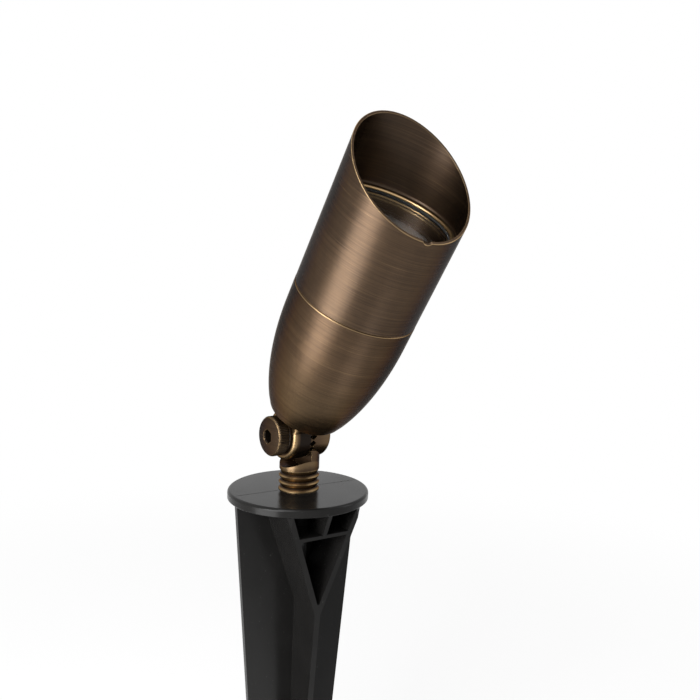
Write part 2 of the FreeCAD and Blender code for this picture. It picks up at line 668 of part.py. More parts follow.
def socket_bracket():
    strap = block(STRAP_HALF_X, STRAP_HALF_Y, BOSS_TOP_S, HOLDER_FOOT_S)
    strap = strap.makeFillet(HOLDER_ROUND, upright_edges(strap))
    low = BOSS_TOP_S - OVERRUN
    high = HOLDER_FOOT_S + OVERRUN
    holes = [both_sides(lambda x: rod(SCREW3_R + SCREW3_GAP, low, high, x), offset)
             for offset in (BOSS_OFFSET, HOLDER_SCREW_OFFSET)]
    return on_head_axis(strap.cut(holes + [rod(STRAP_HOLE_R, low, high)]))


def small_screw(x, seat, end):
    """A cap screw along Z with its head on seat and its shank down to end."""
    head = rod(SCREW3_HEAD_R, seat, seat + SCREW3_HEAD, x)
    hole = hexagon(SCREW3_FLATS, seat + SCREW3_HEAD / 2, seat + SCREW3_HEAD)
    return head.fuse(rod(SCREW3_R, end, seat, x)).cut(hole.translated(Vector(x, 0, 0)))


def bracket_screws():
    end = BOSS_TOP_S - BRACKET_SCREW_LENGTH
    return on_head_axis(both_sides(lambda x: small_screw(x, HOLDER_FOOT_S, end), BOSS_OFFSET))


def holder_screws():
    seat = HOLDER_TOP_S - SCREW3_HEAD - HOLDER_GAP
    end = BOSS_TOP_S - HOLDER_SCREW_END
    return on_head_axis(both_sides(lambda x: small_screw(x, seat, end), HOLDER_SCREW_OFFSET))


# ---- lamp ----
def lamp_shell():
    rim_foot = LAMP_FRONT_S - LAMP_RIM_THICK
    outer = bullet(LAMP_SHELL_R, LAMP_SHELL_NOSE, rim_foot, LAMP_FOOT_S, LAMP_FRONT_S)
    outer = outer.fuse(rod(LAMP_R, rim_foot, LAMP_FRONT_S))
    inner = bullet(LAMP_SHELL_R - LAMP_SHELL_WALL, LAMP_SHELL_NOSE - LAMP_SHELL_WALL, rim_foot,
                   LAMP_FOOT_S, LAMP_FRONT_S)
    return on_head_axis(outer.cut(inner).removeSplitter())


def led_places():
    turn = 2 * math.pi / LED_COUNT
    return [(LED_CIRCLE_R * math.cos(i * turn), LED_CIRCLE_R * math.sin(i * turn))
            for i in range(LED_COUNT)]


def lamp_optic():
    """A domed disc with a cone under it for each emitter."""
    radius = LAMP_SHELL_R - LAMP_SHELL_WALL - OPTIC_GAP
    foot = OPTIC_TOP_S - OPTIC_THICK
    edge = OPTIC_TOP_S - OPTIC_DOME
    disc = rod(radius, foot, edge).fuse(cap(radius, OPTIC_DOME, edge))
    cone_foot = BOARD_TOP_S + LED_HEIGHT + COLLIMATOR_GAP
    cones = [Part.makeCone(COLLIMATOR_FOOT_R, COLLIMATOR_TOP_R, foot - cone_foot,
                           Vector(x, y, cone_foot)) for x, y in led_places()]
    return on_head_axis(disc.fuse(cones).removeSplitter())


def lamp_led_board():
    return on_head_axis(rod(BOARD_R, BOARD_S, BOARD_TOP_S))


def lamp_leds():
    half = LED_SIDE / 2
    chips = [Part.makeBox(LED_SIDE, LED_SIDE, LED_HEIGHT, Vector(x - half, y - half, BOARD_TOP_S))
             for x, y in led_places()]
    return on_head_axis(Part.makeCompound(chips))


def lamp_driver_case():
    return on_head_axis(rod(DRIVER_R, LAMP_FOOT_S, BOARD_S))


def lamp_base():
    flange_foot = LAMP_FOOT_S - BASE_FLANGE_THICK
    stem = block(BASE_HALF_X, BASE_HALF_Y, BASE_FOOT_S, flange_foot)
    base = rod(BASE_FLANGE_R, flange_foot, LAMP_FOOT_S).fuse(stem)
    pins = both_sides(lambda x: rod(PIN_R, BASE_FOOT_S - OVERRUN, BASE_FOOT_S + PIN_LENGTH / 2, x),
                      PIN_HALF_GAP)
    return on_head_axis(base.cut(pins).removeSplitter())


def lamp_pins():
    low = BASE_FOOT_S - PIN_LENGTH
    high = BASE_FOOT_S + PIN_LENGTH / 2
    return on_head_axis(both_sides(lambda x: rod(PIN_R, low, high, x), PIN_HALF_GAP))


# ---- hood and lens pack ----
def hood_direction():
    """Unit vector across the hood, from its short side to its long side."""
    angle = math.radians(90 + HOOD_TURN)
    return Vector(math.cos(angle), math.sin(angle), 0)


def above_the_mouth():
    """The space past the slanted plane that cuts the hood's mouth."""
    slope = math.degrees(math.atan2(HOOD_LONG_S - HOOD_SHORT_S, 2 * HOOD_R))
    long_side = hood_direction()
    space = block(FAR, FAR, 0, FAR)
    space = space.rotated(ORIGIN, Vector(long_side.y, -long_side.x, 0), slope)
    return space.translated(Vector(0, 0, (HOOD_SHORT_S + HOOD_LONG_S) / 2))


def drain_notch():
    """A rod through the rim at the hood's short side."""
    outward = hood_direction() * -1
    start = outward * LEDGE_R + Vector(0, 0, HOOD_SHORT_S + NOTCH_RISE)
    return Part.makeCylinder(NOTCH_R, HOOD_R + OVERRUN - LEDGE_R, start, outward)


def hood():
    thread_top = SPIGOT_TOP_S + HOOD_THREAD_RELIEF
    under = LENS_UNDER_LEDGE_S + LENS_SEAT_GAP
    crest = under + LEDGE_THICK
    foot = SEAM_S + SEAM_GAP
    outline = [(THREAD_BORE_R, foot), (HOOD_R, foot),
               (HOOD_R, HOOD_LONG_S + OVERRUN), (HOOD_BORE_R, HOOD_LONG_S + OVERRUN),
               (HOOD_BORE_R, crest), (LEDGE_R, crest), (LEDGE_R, under), (HOOD_BORE_R, under),
               (HOOD_BORE_R, thread_top), (THREAD_BORE_R, thread_top)]
    shell = turned(outline)
    shell = shell.makeFillet(LEDGE_CORNER, circles_at(shell, crest, HOOD_BORE_R))
    shell = shell.makeFillet(LEDGE_ROUND, circles_at(shell, crest, LEDGE_R))
    shell = shell.makeChamfer(HOOD_EDGE, circles_at(shell, foot, HOOD_R))
    shell = shell.cut([above_the_mouth(), drain_notch()])
    return on_head_axis(shell)


def lens():
    disc = rod(LENS_R, LENS_FOOT_S, LENS_TOP_S)
    edges = circles_at(disc, LENS_TOP_S, LENS_R) + circles_at(disc, LENS_FOOT_S, LENS_R)
    return on_head_axis(disc.makeChamfer(LENS_CHAMFER, edges))


def lens_gasket():
    return on_head_axis(tube(LENS_GASKET_R, LENS_R, LENS_TOP_S, LENS_UNDER_LEDGE_S))


def lens_retaining_ring():
    top = LENS_FOOT_S - LENS_SEAT_GAP
    return on_head_axis(tube(RETAINER_R, HOOD_BORE_R, top - RETAINER_THICK, top))


PIECES = {
    "ground_spike": ground_spike,
    "lower_knuckle": lower_knuckle,
    "knuckle_nut": knuckle_nut,
    "pivot_o_ring": pivot_o_ring,
    "pivot_washer": pivot_washer,
    "thumb_screw": thumb_screw,
    "upper_knuckle": upper_knuckle,
    "hub_gasket": hub_gasket,
    "hub_locknut": hub_locknut,
    "wire_seal": wire_seal,
    "lead_wires": lead_wires,
    "body_housing": body_housing,
    "housing_o_rings": housing_o_rings,
    "lamp_socket": lamp_socket,
    "socket_contacts": socket_contacts,
    "socket_bracket": socket_bracket,
    "bracket_screws": bracket_screws,
    "holder_screws": holder_screws,
    "lamp_shell": lamp_shell,
    "lamp_optic": lamp_optic,
    "lamp_led_board": lamp_led_board,
    "lamp_leds": lamp_leds,
    "lamp_driver_case": lamp_driver_case,
    "lamp_base": lamp_base,
    "lamp_pins": lamp_pins,
    "hood": hood,
    "lens": lens,
    "lens_gasket": lens_gasket,
    "lens_retaining_ring": lens_retaining_ring,
}

os.makedirs("parts", exist_ok=True)
for name, make in PIECES.items():
    shape = make()
    shape.exportStep(os.path.join("parts", name + ".step"))
    print(name, len(shape.Solids), "solids, volume", round(shape.Volume, 1),
          "valid" if shape.isValid() else "NOT VALID")
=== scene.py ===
"""Garden spike spotlight: a brushed bronze bullet on a toothed knuckle and a black ground spike.

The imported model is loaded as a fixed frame. The pieces that show are then made again here
as smooth surfaces, in metres, and every piece gets its finish.
"""
import json
import math

import bmesh
import bpy
import numpy as np
from mathutils import Matrix, Vector


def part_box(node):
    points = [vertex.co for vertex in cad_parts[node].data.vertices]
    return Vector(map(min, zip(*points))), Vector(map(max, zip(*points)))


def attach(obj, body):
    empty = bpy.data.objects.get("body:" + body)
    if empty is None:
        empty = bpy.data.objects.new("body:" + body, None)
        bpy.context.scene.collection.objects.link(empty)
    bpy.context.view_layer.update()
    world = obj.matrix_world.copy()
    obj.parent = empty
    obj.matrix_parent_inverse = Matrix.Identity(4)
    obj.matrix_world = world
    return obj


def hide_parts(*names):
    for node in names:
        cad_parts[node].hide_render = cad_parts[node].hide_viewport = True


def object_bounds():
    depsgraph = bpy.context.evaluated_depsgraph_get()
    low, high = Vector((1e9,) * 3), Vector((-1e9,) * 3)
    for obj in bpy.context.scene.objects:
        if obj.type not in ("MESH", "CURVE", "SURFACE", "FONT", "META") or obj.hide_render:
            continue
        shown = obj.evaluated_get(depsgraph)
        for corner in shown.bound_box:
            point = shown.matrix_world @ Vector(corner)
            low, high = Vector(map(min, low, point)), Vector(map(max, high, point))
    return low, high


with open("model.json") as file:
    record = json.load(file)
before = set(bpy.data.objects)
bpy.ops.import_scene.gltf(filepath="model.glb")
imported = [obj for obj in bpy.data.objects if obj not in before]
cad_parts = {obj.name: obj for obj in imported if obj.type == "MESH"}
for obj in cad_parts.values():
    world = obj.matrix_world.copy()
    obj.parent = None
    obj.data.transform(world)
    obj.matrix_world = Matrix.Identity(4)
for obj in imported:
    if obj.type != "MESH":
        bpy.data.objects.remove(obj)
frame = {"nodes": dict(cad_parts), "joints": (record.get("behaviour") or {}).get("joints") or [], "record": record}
cad_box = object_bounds()

bl_info = {
    "name": "Garden spike spotlight",
    "version": (1, 0, 0),
    "blender": (4, 5, 0),
    "location": "3D View > Sidebar > Spotlight",
    "description": "Builds the visible pieces of a garden spike spotlight round its packed frame",
    "category": "Object",
}

MM = 0.001
TURN = 2 * math.pi
JOINTS = {joint["name"]: joint for joint in frame["joints"]}
HEAD_AXIS = Vector(JOINTS["hood_turn"]["axis"]).normalized()
HEAD_POINT = Vector(JOINTS["hood_turn"]["pos_m"])
PIVOT = Vector(JOINTS["head_tilt"]["pos_m"])
HEAD_LEAN = math.atan2(-HEAD_AXIS.y, HEAD_AXIS.z)

DOUBLE = 0.0001 * MM  # points of a new mesh closer than this are one
NEEDLE = 0.00001 * MM  # lengths under this count as nothing
SOLID_DOUBLE = 0.002 * MM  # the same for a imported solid's loose triangles
COPLANAR = math.radians(0.2)  # faces that meet at less are merged before edges are rounded
SHARP = math.radians(28.0)  # edges that turn more than this are rounded
EDGE_SEGMENTS = 3
CAST_EDGE = 0.16 * MM  # how far a rounded edge reaches
MOULDED_EDGE = 0.35 * MM

# How many points the surfaces have, round a piece and along a curve of its profile.
HOOD_ROUND = 576
NOTCH_ROUND = 48  # besides the hood's, across the drain notch
BODY_ROUND = 360
POST_ROUND = 48
RIDGE_ROUND = 8  # round one ridge of the knurling
WASHER_ROUND = 180
OUTER_CURVE, INNER_CURVE = 48, 40
DOME_CURVE = 14
LINE_LONG, LINE_ROUND = 40, 12

# Where a mask changes over from 0 to 1 or from 1 to 0: between these lengths in millimetres.
NOSE = (18.0, 66.0)  # along the head, from the pivot
LEDGE_FACE = (130.3, 130.8)
HOOD_BORE = (28.95, 29.3)  # radius about the head's axis
LEDGE_CREST = (27.3, 27.9)
RINGS_END = (15.0, 15.6)  # height above the ground line
RING_CREST = (9.7, 10.25)  # radius about the stem's axis
RING_GROOVE = (9.35, 9.8)
SADDLE_START = (16.95, 17.1)  # distance from the knuckle's axis
SADDLE_END = (18.3, 20.5)
TEETH_START = (9.6, 10.2)
TEETH_END = (13.1, 13.3)
EAR_END = (13.2, 14.0)
BARREL_START = (8.0, 9.0)
BARREL_ROUND = (10.2, 11.4)
SOCKET_END = (3.2, 3.75)
KNURL_CREST = (10.0, 10.25)
EAR_TIPS = (-0.65, -0.3)  # along the knuckle's axis, as X
EAR_FACE = (1.5, 9.0)
BARREL_CAP = (-11.4, -9.9)
BARREL_SIDE_START = (-9.9, -8.5)
BARREL_SIDE_END = (-2.6, -1.8)
BARREL_TIPS = (-1.15, -0.9)
SCREW_FACE = (-19.3, -18.6)

# Lights: name, direction as seen from the head, distance, width and height, watts.
LIT_POINT = Vector((HEAD_POINT.x, -0.045, 0.095))  # in the middle of the head
LIGHTS = (
    ("key_light", (-0.95, -0.55, 0.85), 1.1, (0.5, 0.9), 9.0),
    ("fill_light", (0.9, -0.7, 0.4), 1.1, (0.3, 0.9), 2.0),
    ("mouth_light", (-0.95, -0.22, 0.18), 1.1, (0.55, 0.6), 13.0),
    ("top_light", (0.15, 0.1, 1.0), 1.1, (0.8, 0.8), 3.5),
    ("low_left_strip", (-0.91, 0.0, -0.36), 0.45, (0.26, 0.3), 1.75),
    ("low_right_strip", (-0.04, -0.42, -0.91), 0.31, (0.11, 0.14), 0.06),
)
IMAGE_SIDE = 700.0  # pixels
SENSOR_WIDTH = 36.0  # millimetres
SOFT_LIGHT = 0.55  # the world's strength
FLOOR_HALF = 6.0  # metres
FLOOR_WHITE = 0.78  # how white the floor shows under the object
FLOOR_FADE = (250.0, 850.0)  # it is all white further away, in millimetres


# ------ settings
def length(name, description, default):
    """A length property in metres, given in millimetres."""
    return bpy.props.FloatProperty(name=name, description=description, default=default * MM,
                                   unit="LENGTH", precision=5)


def degrees(name, description, default):
    """An angle property, given in degrees."""
    return bpy.props.FloatProperty(name=name, description=description,
                                   default=math.radians(default), subtype="ANGLE")


def pixels(name, description, default):
    """A length in pixels of the camera's image."""
    return bpy.props.FloatProperty(name=name, description=description, default=default)


def colour(name, description, default):
    """A linear colour property."""
    return bpy.props.FloatVectorProperty(name=name, description=description, default=default,
                                         size=3, min=0.0, max=1.0, subtype="COLOR")


class SpotlightHeadSettings(bpy.types.PropertyGroup):
    """Sizes of the hood and the bullet body, measured from the pivot along the head's axis."""
    hood_radius: length("Hood radius", "Outside radius of the hood", 30.1)
    hood_wall: length("Hood wall", "Thickness of the hood's wall", 1.2)
    hood_foot: length("Hood foot", "Where the hood starts", 84.95)
    mouth_short: length("Short side", "End of the hood's short side", 131.5)
    mouth_long: length("Long side", "End of the hood's long side", 164.1)
    mouth_turn: degrees("Mouth turn", "The long side is turned this far from the back", -11.4)
    rim_round: length("Rim round", "Radius of the mouth's edges", 0.22)
    notch_radius: length("Notch radius", "Radius of the drain notch", 3.2)
    notch_rise: length("Notch rise", "Height of the notch's centre above the rim", 2.2)
    ledge_radius: length("Ledge radius", "Inner radius of the lens ledge", 25.9)
    ledge_foot: length("Ledge foot", "Underside of the lens ledge", 128.95)
    ledge_thick: length("Ledge thickness", "Thickness of the lens ledge", 1.2)
    thread_radius: length("Thread bore", "Inner radius of the hood's threaded part", 27.58)
    thread_top: length("Thread top", "End of the hood's threaded part", 98.3)
    body_radius: length("Body radius", "Largest radius of the bullet", 30.2)
    body_full: length("Full radius at", "Where the bullet reaches its full radius", 72.0)
    body_nose: length("Bullet length", "Long half axis of the bullet's ellipse", 72.2)
    body_end: length("Body end", "The bullet's flat end", 15.5)
    body_wall: length("Body wall", "Thickness of the bullet's wall", 2.2)
    body_end_wall: length("Body end wall", "Thickness of the bullet's floor", 2.8)
    hub_hole: length("Hub hole", "Radius of the hole for the hub", 6.65)
    seam: length("Seam", "Where the body ends and the hood starts", 84.8)
    spigot_radius: length("Spigot radius", "Radius of the part inside the hood", 27.5)
    spigot_wall: length("Spigot wall", "Thickness of the spigot", 3.6)
    spigot_top: length("Spigot top", "End of the spigot", 96.8)
    groove_width: length("Groove width", "Width of the seal grooves", 2.4)
    groove_depth: length("Groove depth", "Depth of the seal grooves", 2.07)
    groove_places: bpy.props.FloatVectorProperty(
        name="Groove places", description="Middles of the seal grooves", size=2,
        default=(87.08 * MM, 90.88 * MM), unit="LENGTH", precision=5)
    boss_radius: length("Boss radius", "Radius of the posts inside", 3.5)
    boss_offset: length("Boss offset", "From the axis to a post", 20.0)
    boss_foot: length("Boss foot", "Lower end of the posts", 34.0)
    boss_top: length("Boss top", "Upper end of the posts", 55.8)


class SpotlightScrewSettings(bpy.types.PropertyGroup):
    """Sizes of the thumb screw and its washer, along the knuckle's axis."""
    washer_face: length("Washer face", "X of the washer's outer face", -13.1)
    washer_radius: length("Washer radius", "Outside radius of the washer", 9.4)
    washer_thick: length("Washer thickness", "Thickness of the washer", 0.8)
    head_radius: length("Head radius", "Outside radius of the head", 10.2)
    head_thick: length("Head thickness", "Thickness of the head at its edge", 6.3)
    dome: length("Dome", "Rise of the face's middle", 1.2)
    chamfer: length("Chamfer", "Chamfer of the head's edges", 0.4)
    knurl_count: bpy.props.IntProperty(name="Knurls", description="Ridges round the head",
                                       default=72, min=12)
    knurl_depth: length("Knurl depth", "Depth of the knurling", 0.35)
    hex_flats: length("Socket size", "Hexagon socket across its flats", 6.0)
    hex_depth: length("Socket depth", "Depth of the hexagon socket", 4.6)
    hex_chamfer: length("Socket chamfer", "Chamfer round the socket", 0.5)
    shank_radius: length("Shank radius", "Radius of the shank", 4.0)
    shank_length: length("Shank length", "From the washer's outer face to the shank's end", 23.25)


class SpotlightSpikeSettings(bpy.types.PropertyGroup):
    """The parting line on the spike's flange."""
    blade_turn: degrees("Blade turn", "The blade's direction", -8.3)
    line_start: length("Line start", "The parting line starts at this radius", 11.2)
    line_end: length("Line end", "The parting line ends at this radius", 35.3)
    line_width: length("Line width", "Width of the parting line", 0.5)
    line_height: length("Line height", "Height of the parting line", 0.08)


class SpotlightFinishSettings(bpy.types.PropertyGroup):
    """Colours of the finishes, as linear values."""
    bronze_dark: colour("Dark bronze", "The patina's darkest tone", (0.022, 0.0135, 0.0085))
    bronze_mid: colour("Bronze", "The patina's usual tone", (0.098, 0.060, 0.033))
    # Worn brass is also the colour of painted highlights: on the lens ledge, the barrel's rounded end, the
    # bullet's nose and rounded edges.
    bronze_gold: colour("Worn brass", "Brass where the patina is rubbed off", (0.50, 0.34, 0.165))
    plastic: colour("Black plastic", "The spike's plastic", (0.0055, 0.0053, 0.0051))
    rubber: colour("Rubber", "Seals and gaskets", (0.014, 0.014, 0.014))
    steel: colour("Stainless steel", "Strap and small screws", (0.55, 0.55, 0.54))
    lamp_grey: colour("Lamp face", "The lamp's frosted front", (0.21, 0.215, 0.22))


class SpotlightStageSettings(bpy.types.PropertyGroup):
    """The camera: where it stands, seen from the flange's top, and where it looks."""
    camera_azimuth: degrees("Camera azimuth", "0 looks along +Y", -35.45)
    camera_elevation: degrees("Camera elevation", "Height above the flange as an angle", 16.46)
    camera_distance: length("Camera distance", "From the middle of the flange's top", 360.07)
    aim_azimuth: degrees("View azimuth", "Direction of view", -41.18)
    aim_elevation: degrees("View elevation", "How far the view looks down", 3.46)
    roll: degrees("Camera roll", "Turn about the line of sight", 2.2)
    focal_pixels: pixels("Focal length", "Focal length in pixels of the image", 660.4)
    centre_x: pixels("Centre X", "Pixel column of the line of sight", 369.7)
    centre_y: pixels("Centre Y", "Pixel row of the line of sight", 336.5)


# ------ surfaces
def rounded(corners, steps=6, hold=0.02 * MM):
    """A closed outline with round corners, as arrays of points (n, 2) and of wear and painted highlight (n,).

    Each corner is (r, z, radius, wear_and_sheen). A round corner is the arc that touches both sides:
    its ends are radius / tan(half the corner's angle) from the corner. Beside each arc, hold
    further out, stands one more point, so that the flat side stays flat when it is shaded
    smooth. The last number is edge wear and a painted highlight on the round: it is full in the middle of an arc
    and falls to sin(least * pi) of that at its ends.
    """
    least = 0.15
    points = np.array([c[:2] for c in corners], float)
    before = np.roll(points, 1, axis=0)
    after = np.roll(points, -1, axis=0)
    out, worn_and_sheen = [], []
    for p, a, b, corner in zip(points, before, after, corners):
        radius, wear_and_sheen = corner[2], corner[3]
        if radius <= 0:
            out.append(p[None])
            worn_and_sheen.append(np.array([wear_and_sheen]))
            continue
        u = (a - p) / np.linalg.norm(a - p)
        v = (b - p) / np.linalg.norm(b - p)
        half = math.acos(np.clip(u @ v, -1, 1)) / 2
        reach = radius / math.tan(half)
        centre = p + (u + v) / np.linalg.norm(u + v) * radius / math.sin(half)
        start, end = p + u * reach - centre, p + v * reach - centre
        sweep = math.pi - 2 * half
        t = np.linspace(0, 1, steps + 1)[:, None]
        arc = (np.sin((1 - t) * sweep) * start + np.sin(t * sweep) * end) / math.sin(sweep)
        arc = np.concatenate([p[None] + u * (reach + hold), centre + arc, p[None] + v * (reach + hold)])
        out.append(arc)
        along = np.clip(t[:, 0], least, 1 - least)
        worn_and_sheen.append(np.concatenate([[0], wear_and_sheen * np.sin(np.pi * along), [0]]))
    return np.concatenate(out), np.concatenate(worn_and_sheen)


def subdivided(points, values, longest):
    """Adds evenly spaced points on the long sides of a closed outline."""
    out, extra = [], []
    for p, q, a, b in zip(points, np.roll(points, -1, axis=0), values, np.roll(values, -1, axis=0)):
        count = max(1, int(np.linalg.norm(q[:2] - p[:2]) / longest))
        t = np.linspace(0, 1, count, endpoint=False)
        out.append(p + t[:, None] * (q - p))
        extra.append(a + t * (b - a))
    return np.concatenate(out), np.concatenate(extra)


def turned_grid(profile, wear_and_sheen, angles, radial=None, axial=None):
    """Carries a profile round the Z axis.

    Point (i, j) is (r cos a, r sin a, z) for angle a of row i and profile point (r, z) of
    column j. radial(a, r) and axial(a, r, z) may change r and z from angle to angle.
    """
    a = np.asarray(angles)[:, None]
    r = np.broadcast_to(profile[:, 0], (len(angles), len(profile)))
    z = np.broadcast_to(profile[:, 1], r.shape)
    moved_r = radial(a, r) if radial else r
    moved_z = axial(a, moved_r, z) if axial else z
    points = np.stack([moved_r * np.cos(a), moved_r * np.sin(a), moved_z], -1)
    return points, np.broadcast_to(wear_and_sheen, r.shape)


def grid_faces(rows, columns, close_rows=True, close_columns=True):
    """The quads of a grid of points, numbered row by row, closed in one or both ways."""
    i = np.arange(rows if close_rows else rows - 1)[:, None]
    j = np.arange(columns if close_columns else columns - 1)[None, :]
    i2, j2 = (i + 1) % rows, (j + 1) % columns
    quads = np.stack(np.broadcast_arrays(i * columns + j, i2 * columns + j,
                                         i2 * columns + j2, i * columns + j2), -1)
    return quads.reshape(-1, 4)


def even_angles(count):
    """Angles round a full turn."""
    return np.arange(count) * TURN / count


def in_head(points):
    """Points of the head's own upright frame, leaned and lifted into place."""
    c, s = math.cos(HEAD_LEAN), math.sin(HEAD_LEAN)
    x, y, z = points[..., 0], points[..., 1], points[..., 2]
    return np.stack([x + HEAD_POINT.x, y * c - z * s, y * s + z * c + PIVOT.z], -1)


def on_pivot(points):
    """Points made about Z, laid along X at the pivot: z becomes x."""
    x, y, z = points[..., 0], points[..., 1], points[..., 2]
    return np.stack([z, y, PIVOT.z - x], -1)


def mesh_object(name, grids, place):
    """One object from several turned grids, each (points, wear_and_sheen), that place() puts into position.

    A grid is closed both ways, unless its profile starts and ends on the axis.
    """
    vertices, faces, worn_and_sheen, start = [], [], [], 0
    for points, wear_and_sheen in grids:
        rows, columns = points.shape[:2]
        on_axis = np.hypot(points[0, [0, -1], 0], points[0, [0, -1], 1]).max() < NEEDLE
        faces.append(grid_faces(rows, columns, close_columns=not on_axis) + start)
        vertices.append(points.reshape(-1, 3))
        worn_and_sheen.append(np.asarray(wear_and_sheen, float).reshape(-1))
        start += rows * columns
    mesh = bpy.data.meshes.new(name)
    mesh.from_pydata(place(np.concatenate(vertices)), [], np.concatenate(faces))
    layer = mesh.attributes.new("wear_and_sheen", "FLOAT", "POINT")
    layer.data.foreach_set("value", np.concatenate(worn_and_sheen).astype(np.float32))
    return cleaned(name, mesh)


def linked(name, data):
    """A new object in the scene."""
    obj = bpy.data.objects.new(name, data)
    bpy.context.scene.collection.objects.link(obj)
    return obj


def cleaned(name, mesh):
    """Merges doubled points, turns the faces outwards and links the object."""
    bm = bmesh.new()
    bm.from_mesh(mesh)
    bmesh.ops.remove_doubles(bm, verts=bm.verts, dist=DOUBLE)
    bmesh.ops.dissolve_degenerate(bm, edges=bm.edges, dist=NEEDLE)
    bmesh.ops.recalc_face_normals(bm, faces=bm.faces)
    bm.to_mesh(mesh)
    bm.free()
    mesh.shade_smooth()
    return linked(name, mesh)


def softened_copy(name, node, width):
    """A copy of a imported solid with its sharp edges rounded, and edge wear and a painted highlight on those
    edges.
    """
    mesh = frame["nodes"][node].data.copy()
    mesh.name = name
    if "custom_normal" in mesh.attributes:
        mesh.attributes.remove(mesh.attributes["custom_normal"])
    bm = bmesh.new()
    bm.from_mesh(mesh)
    bmesh.ops.remove_doubles(bm, verts=bm.verts, dist=SOLID_DOUBLE)
    bmesh.ops.dissolve_limit(bm, angle_limit=COPLANAR, verts=bm.verts, edges=bm.edges)
    sharp = [e for e in bm.edges if len(e.link_faces) == 2 and e.calc_face_angle(0) > SHARP]
    # The rounded edges carry wear and a painted highlight, brighter in the middle of each round.
    worn_and_sheen = bm.verts.layers.float.new("wear_and_sheen")
    made = bmesh.ops.bevel(bm, geom=sharp, offset=width, offset_type="OFFSET",
                           segments=EDGE_SEGMENTS, profile=0.5, affect="EDGES", clamp_overlap=True)
    rounded_faces = set(made["faces"])
    for vertex in made["verts"]:
        vertex[worn_and_sheen] = float(all(face in rounded_faces for face in vertex.link_faces))
    bmesh.ops.recalc_face_normals(bm, faces=bm.faces)
    bm.to_mesh(mesh)
    bm.free()
    mesh.shade_smooth()
    obj = linked(name, mesh)
    weighted = obj.modifiers.new("Even shading", "WEIGHTED_NORMAL")
    weighted.keep_sharp = True
    return obj


def finish_piece(obj, body, material, slot, *nodes):
    """Gives a new piece its material and its body, and hides the imported nodes that it stands for."""
    obj.data.materials.clear()
    obj.data.materials.append(material)
    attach(obj, body)
    if nodes:
        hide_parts(*nodes)


# ------ shader maths
class Wire:
    """An output socket. Arithmetic on it adds Math nodes to its tree."""

    def __init__(self, tree, socket):
        self.tree = tree
        self.socket = socket

    def maths(self, operation, a, b, clamp=False):
        settings = {"operation": operation, "use_clamp": clamp}
        return self.tree.add("ShaderNodeMath", settings, {0: a, 1: b})

    def __add__(self, other):
        return self.maths("ADD", self, other)

    __radd__ = __add__

    def __sub__(self, other):
        return self.maths("SUBTRACT", self, other)

    def __rsub__(self, other):
        return self.maths("SUBTRACT", other, self)

    def __mul__(self, other):
        return self.maths("MULTIPLY", self, other)

    __rmul__ = __mul__

    def __pow__(self, other):
        return self.maths("POWER", self, other)

    def clamped(self):
        """The value, held between 0 and 1."""
        return self.maths("ADD", self, 0.0, clamp=True)

    def step(self, low, high):
        """0 below low, 1 above high and smooth between them."""
        return self.tree.add("ShaderNodeMapRange", {"interpolation_type": "SMOOTHSTEP"},
                             {"Value": self, "From Min": low, "From Max": high})

    def past(self, lengths):
        """0 before the first of two lengths in millimetres and 1 after the second."""
        return self.step(lengths[0] * MM, lengths[1] * MM)

    def before(self, lengths):
        """1 before the first of two lengths in millimetres and 0 after the second."""
        return 1 - self.past(lengths)


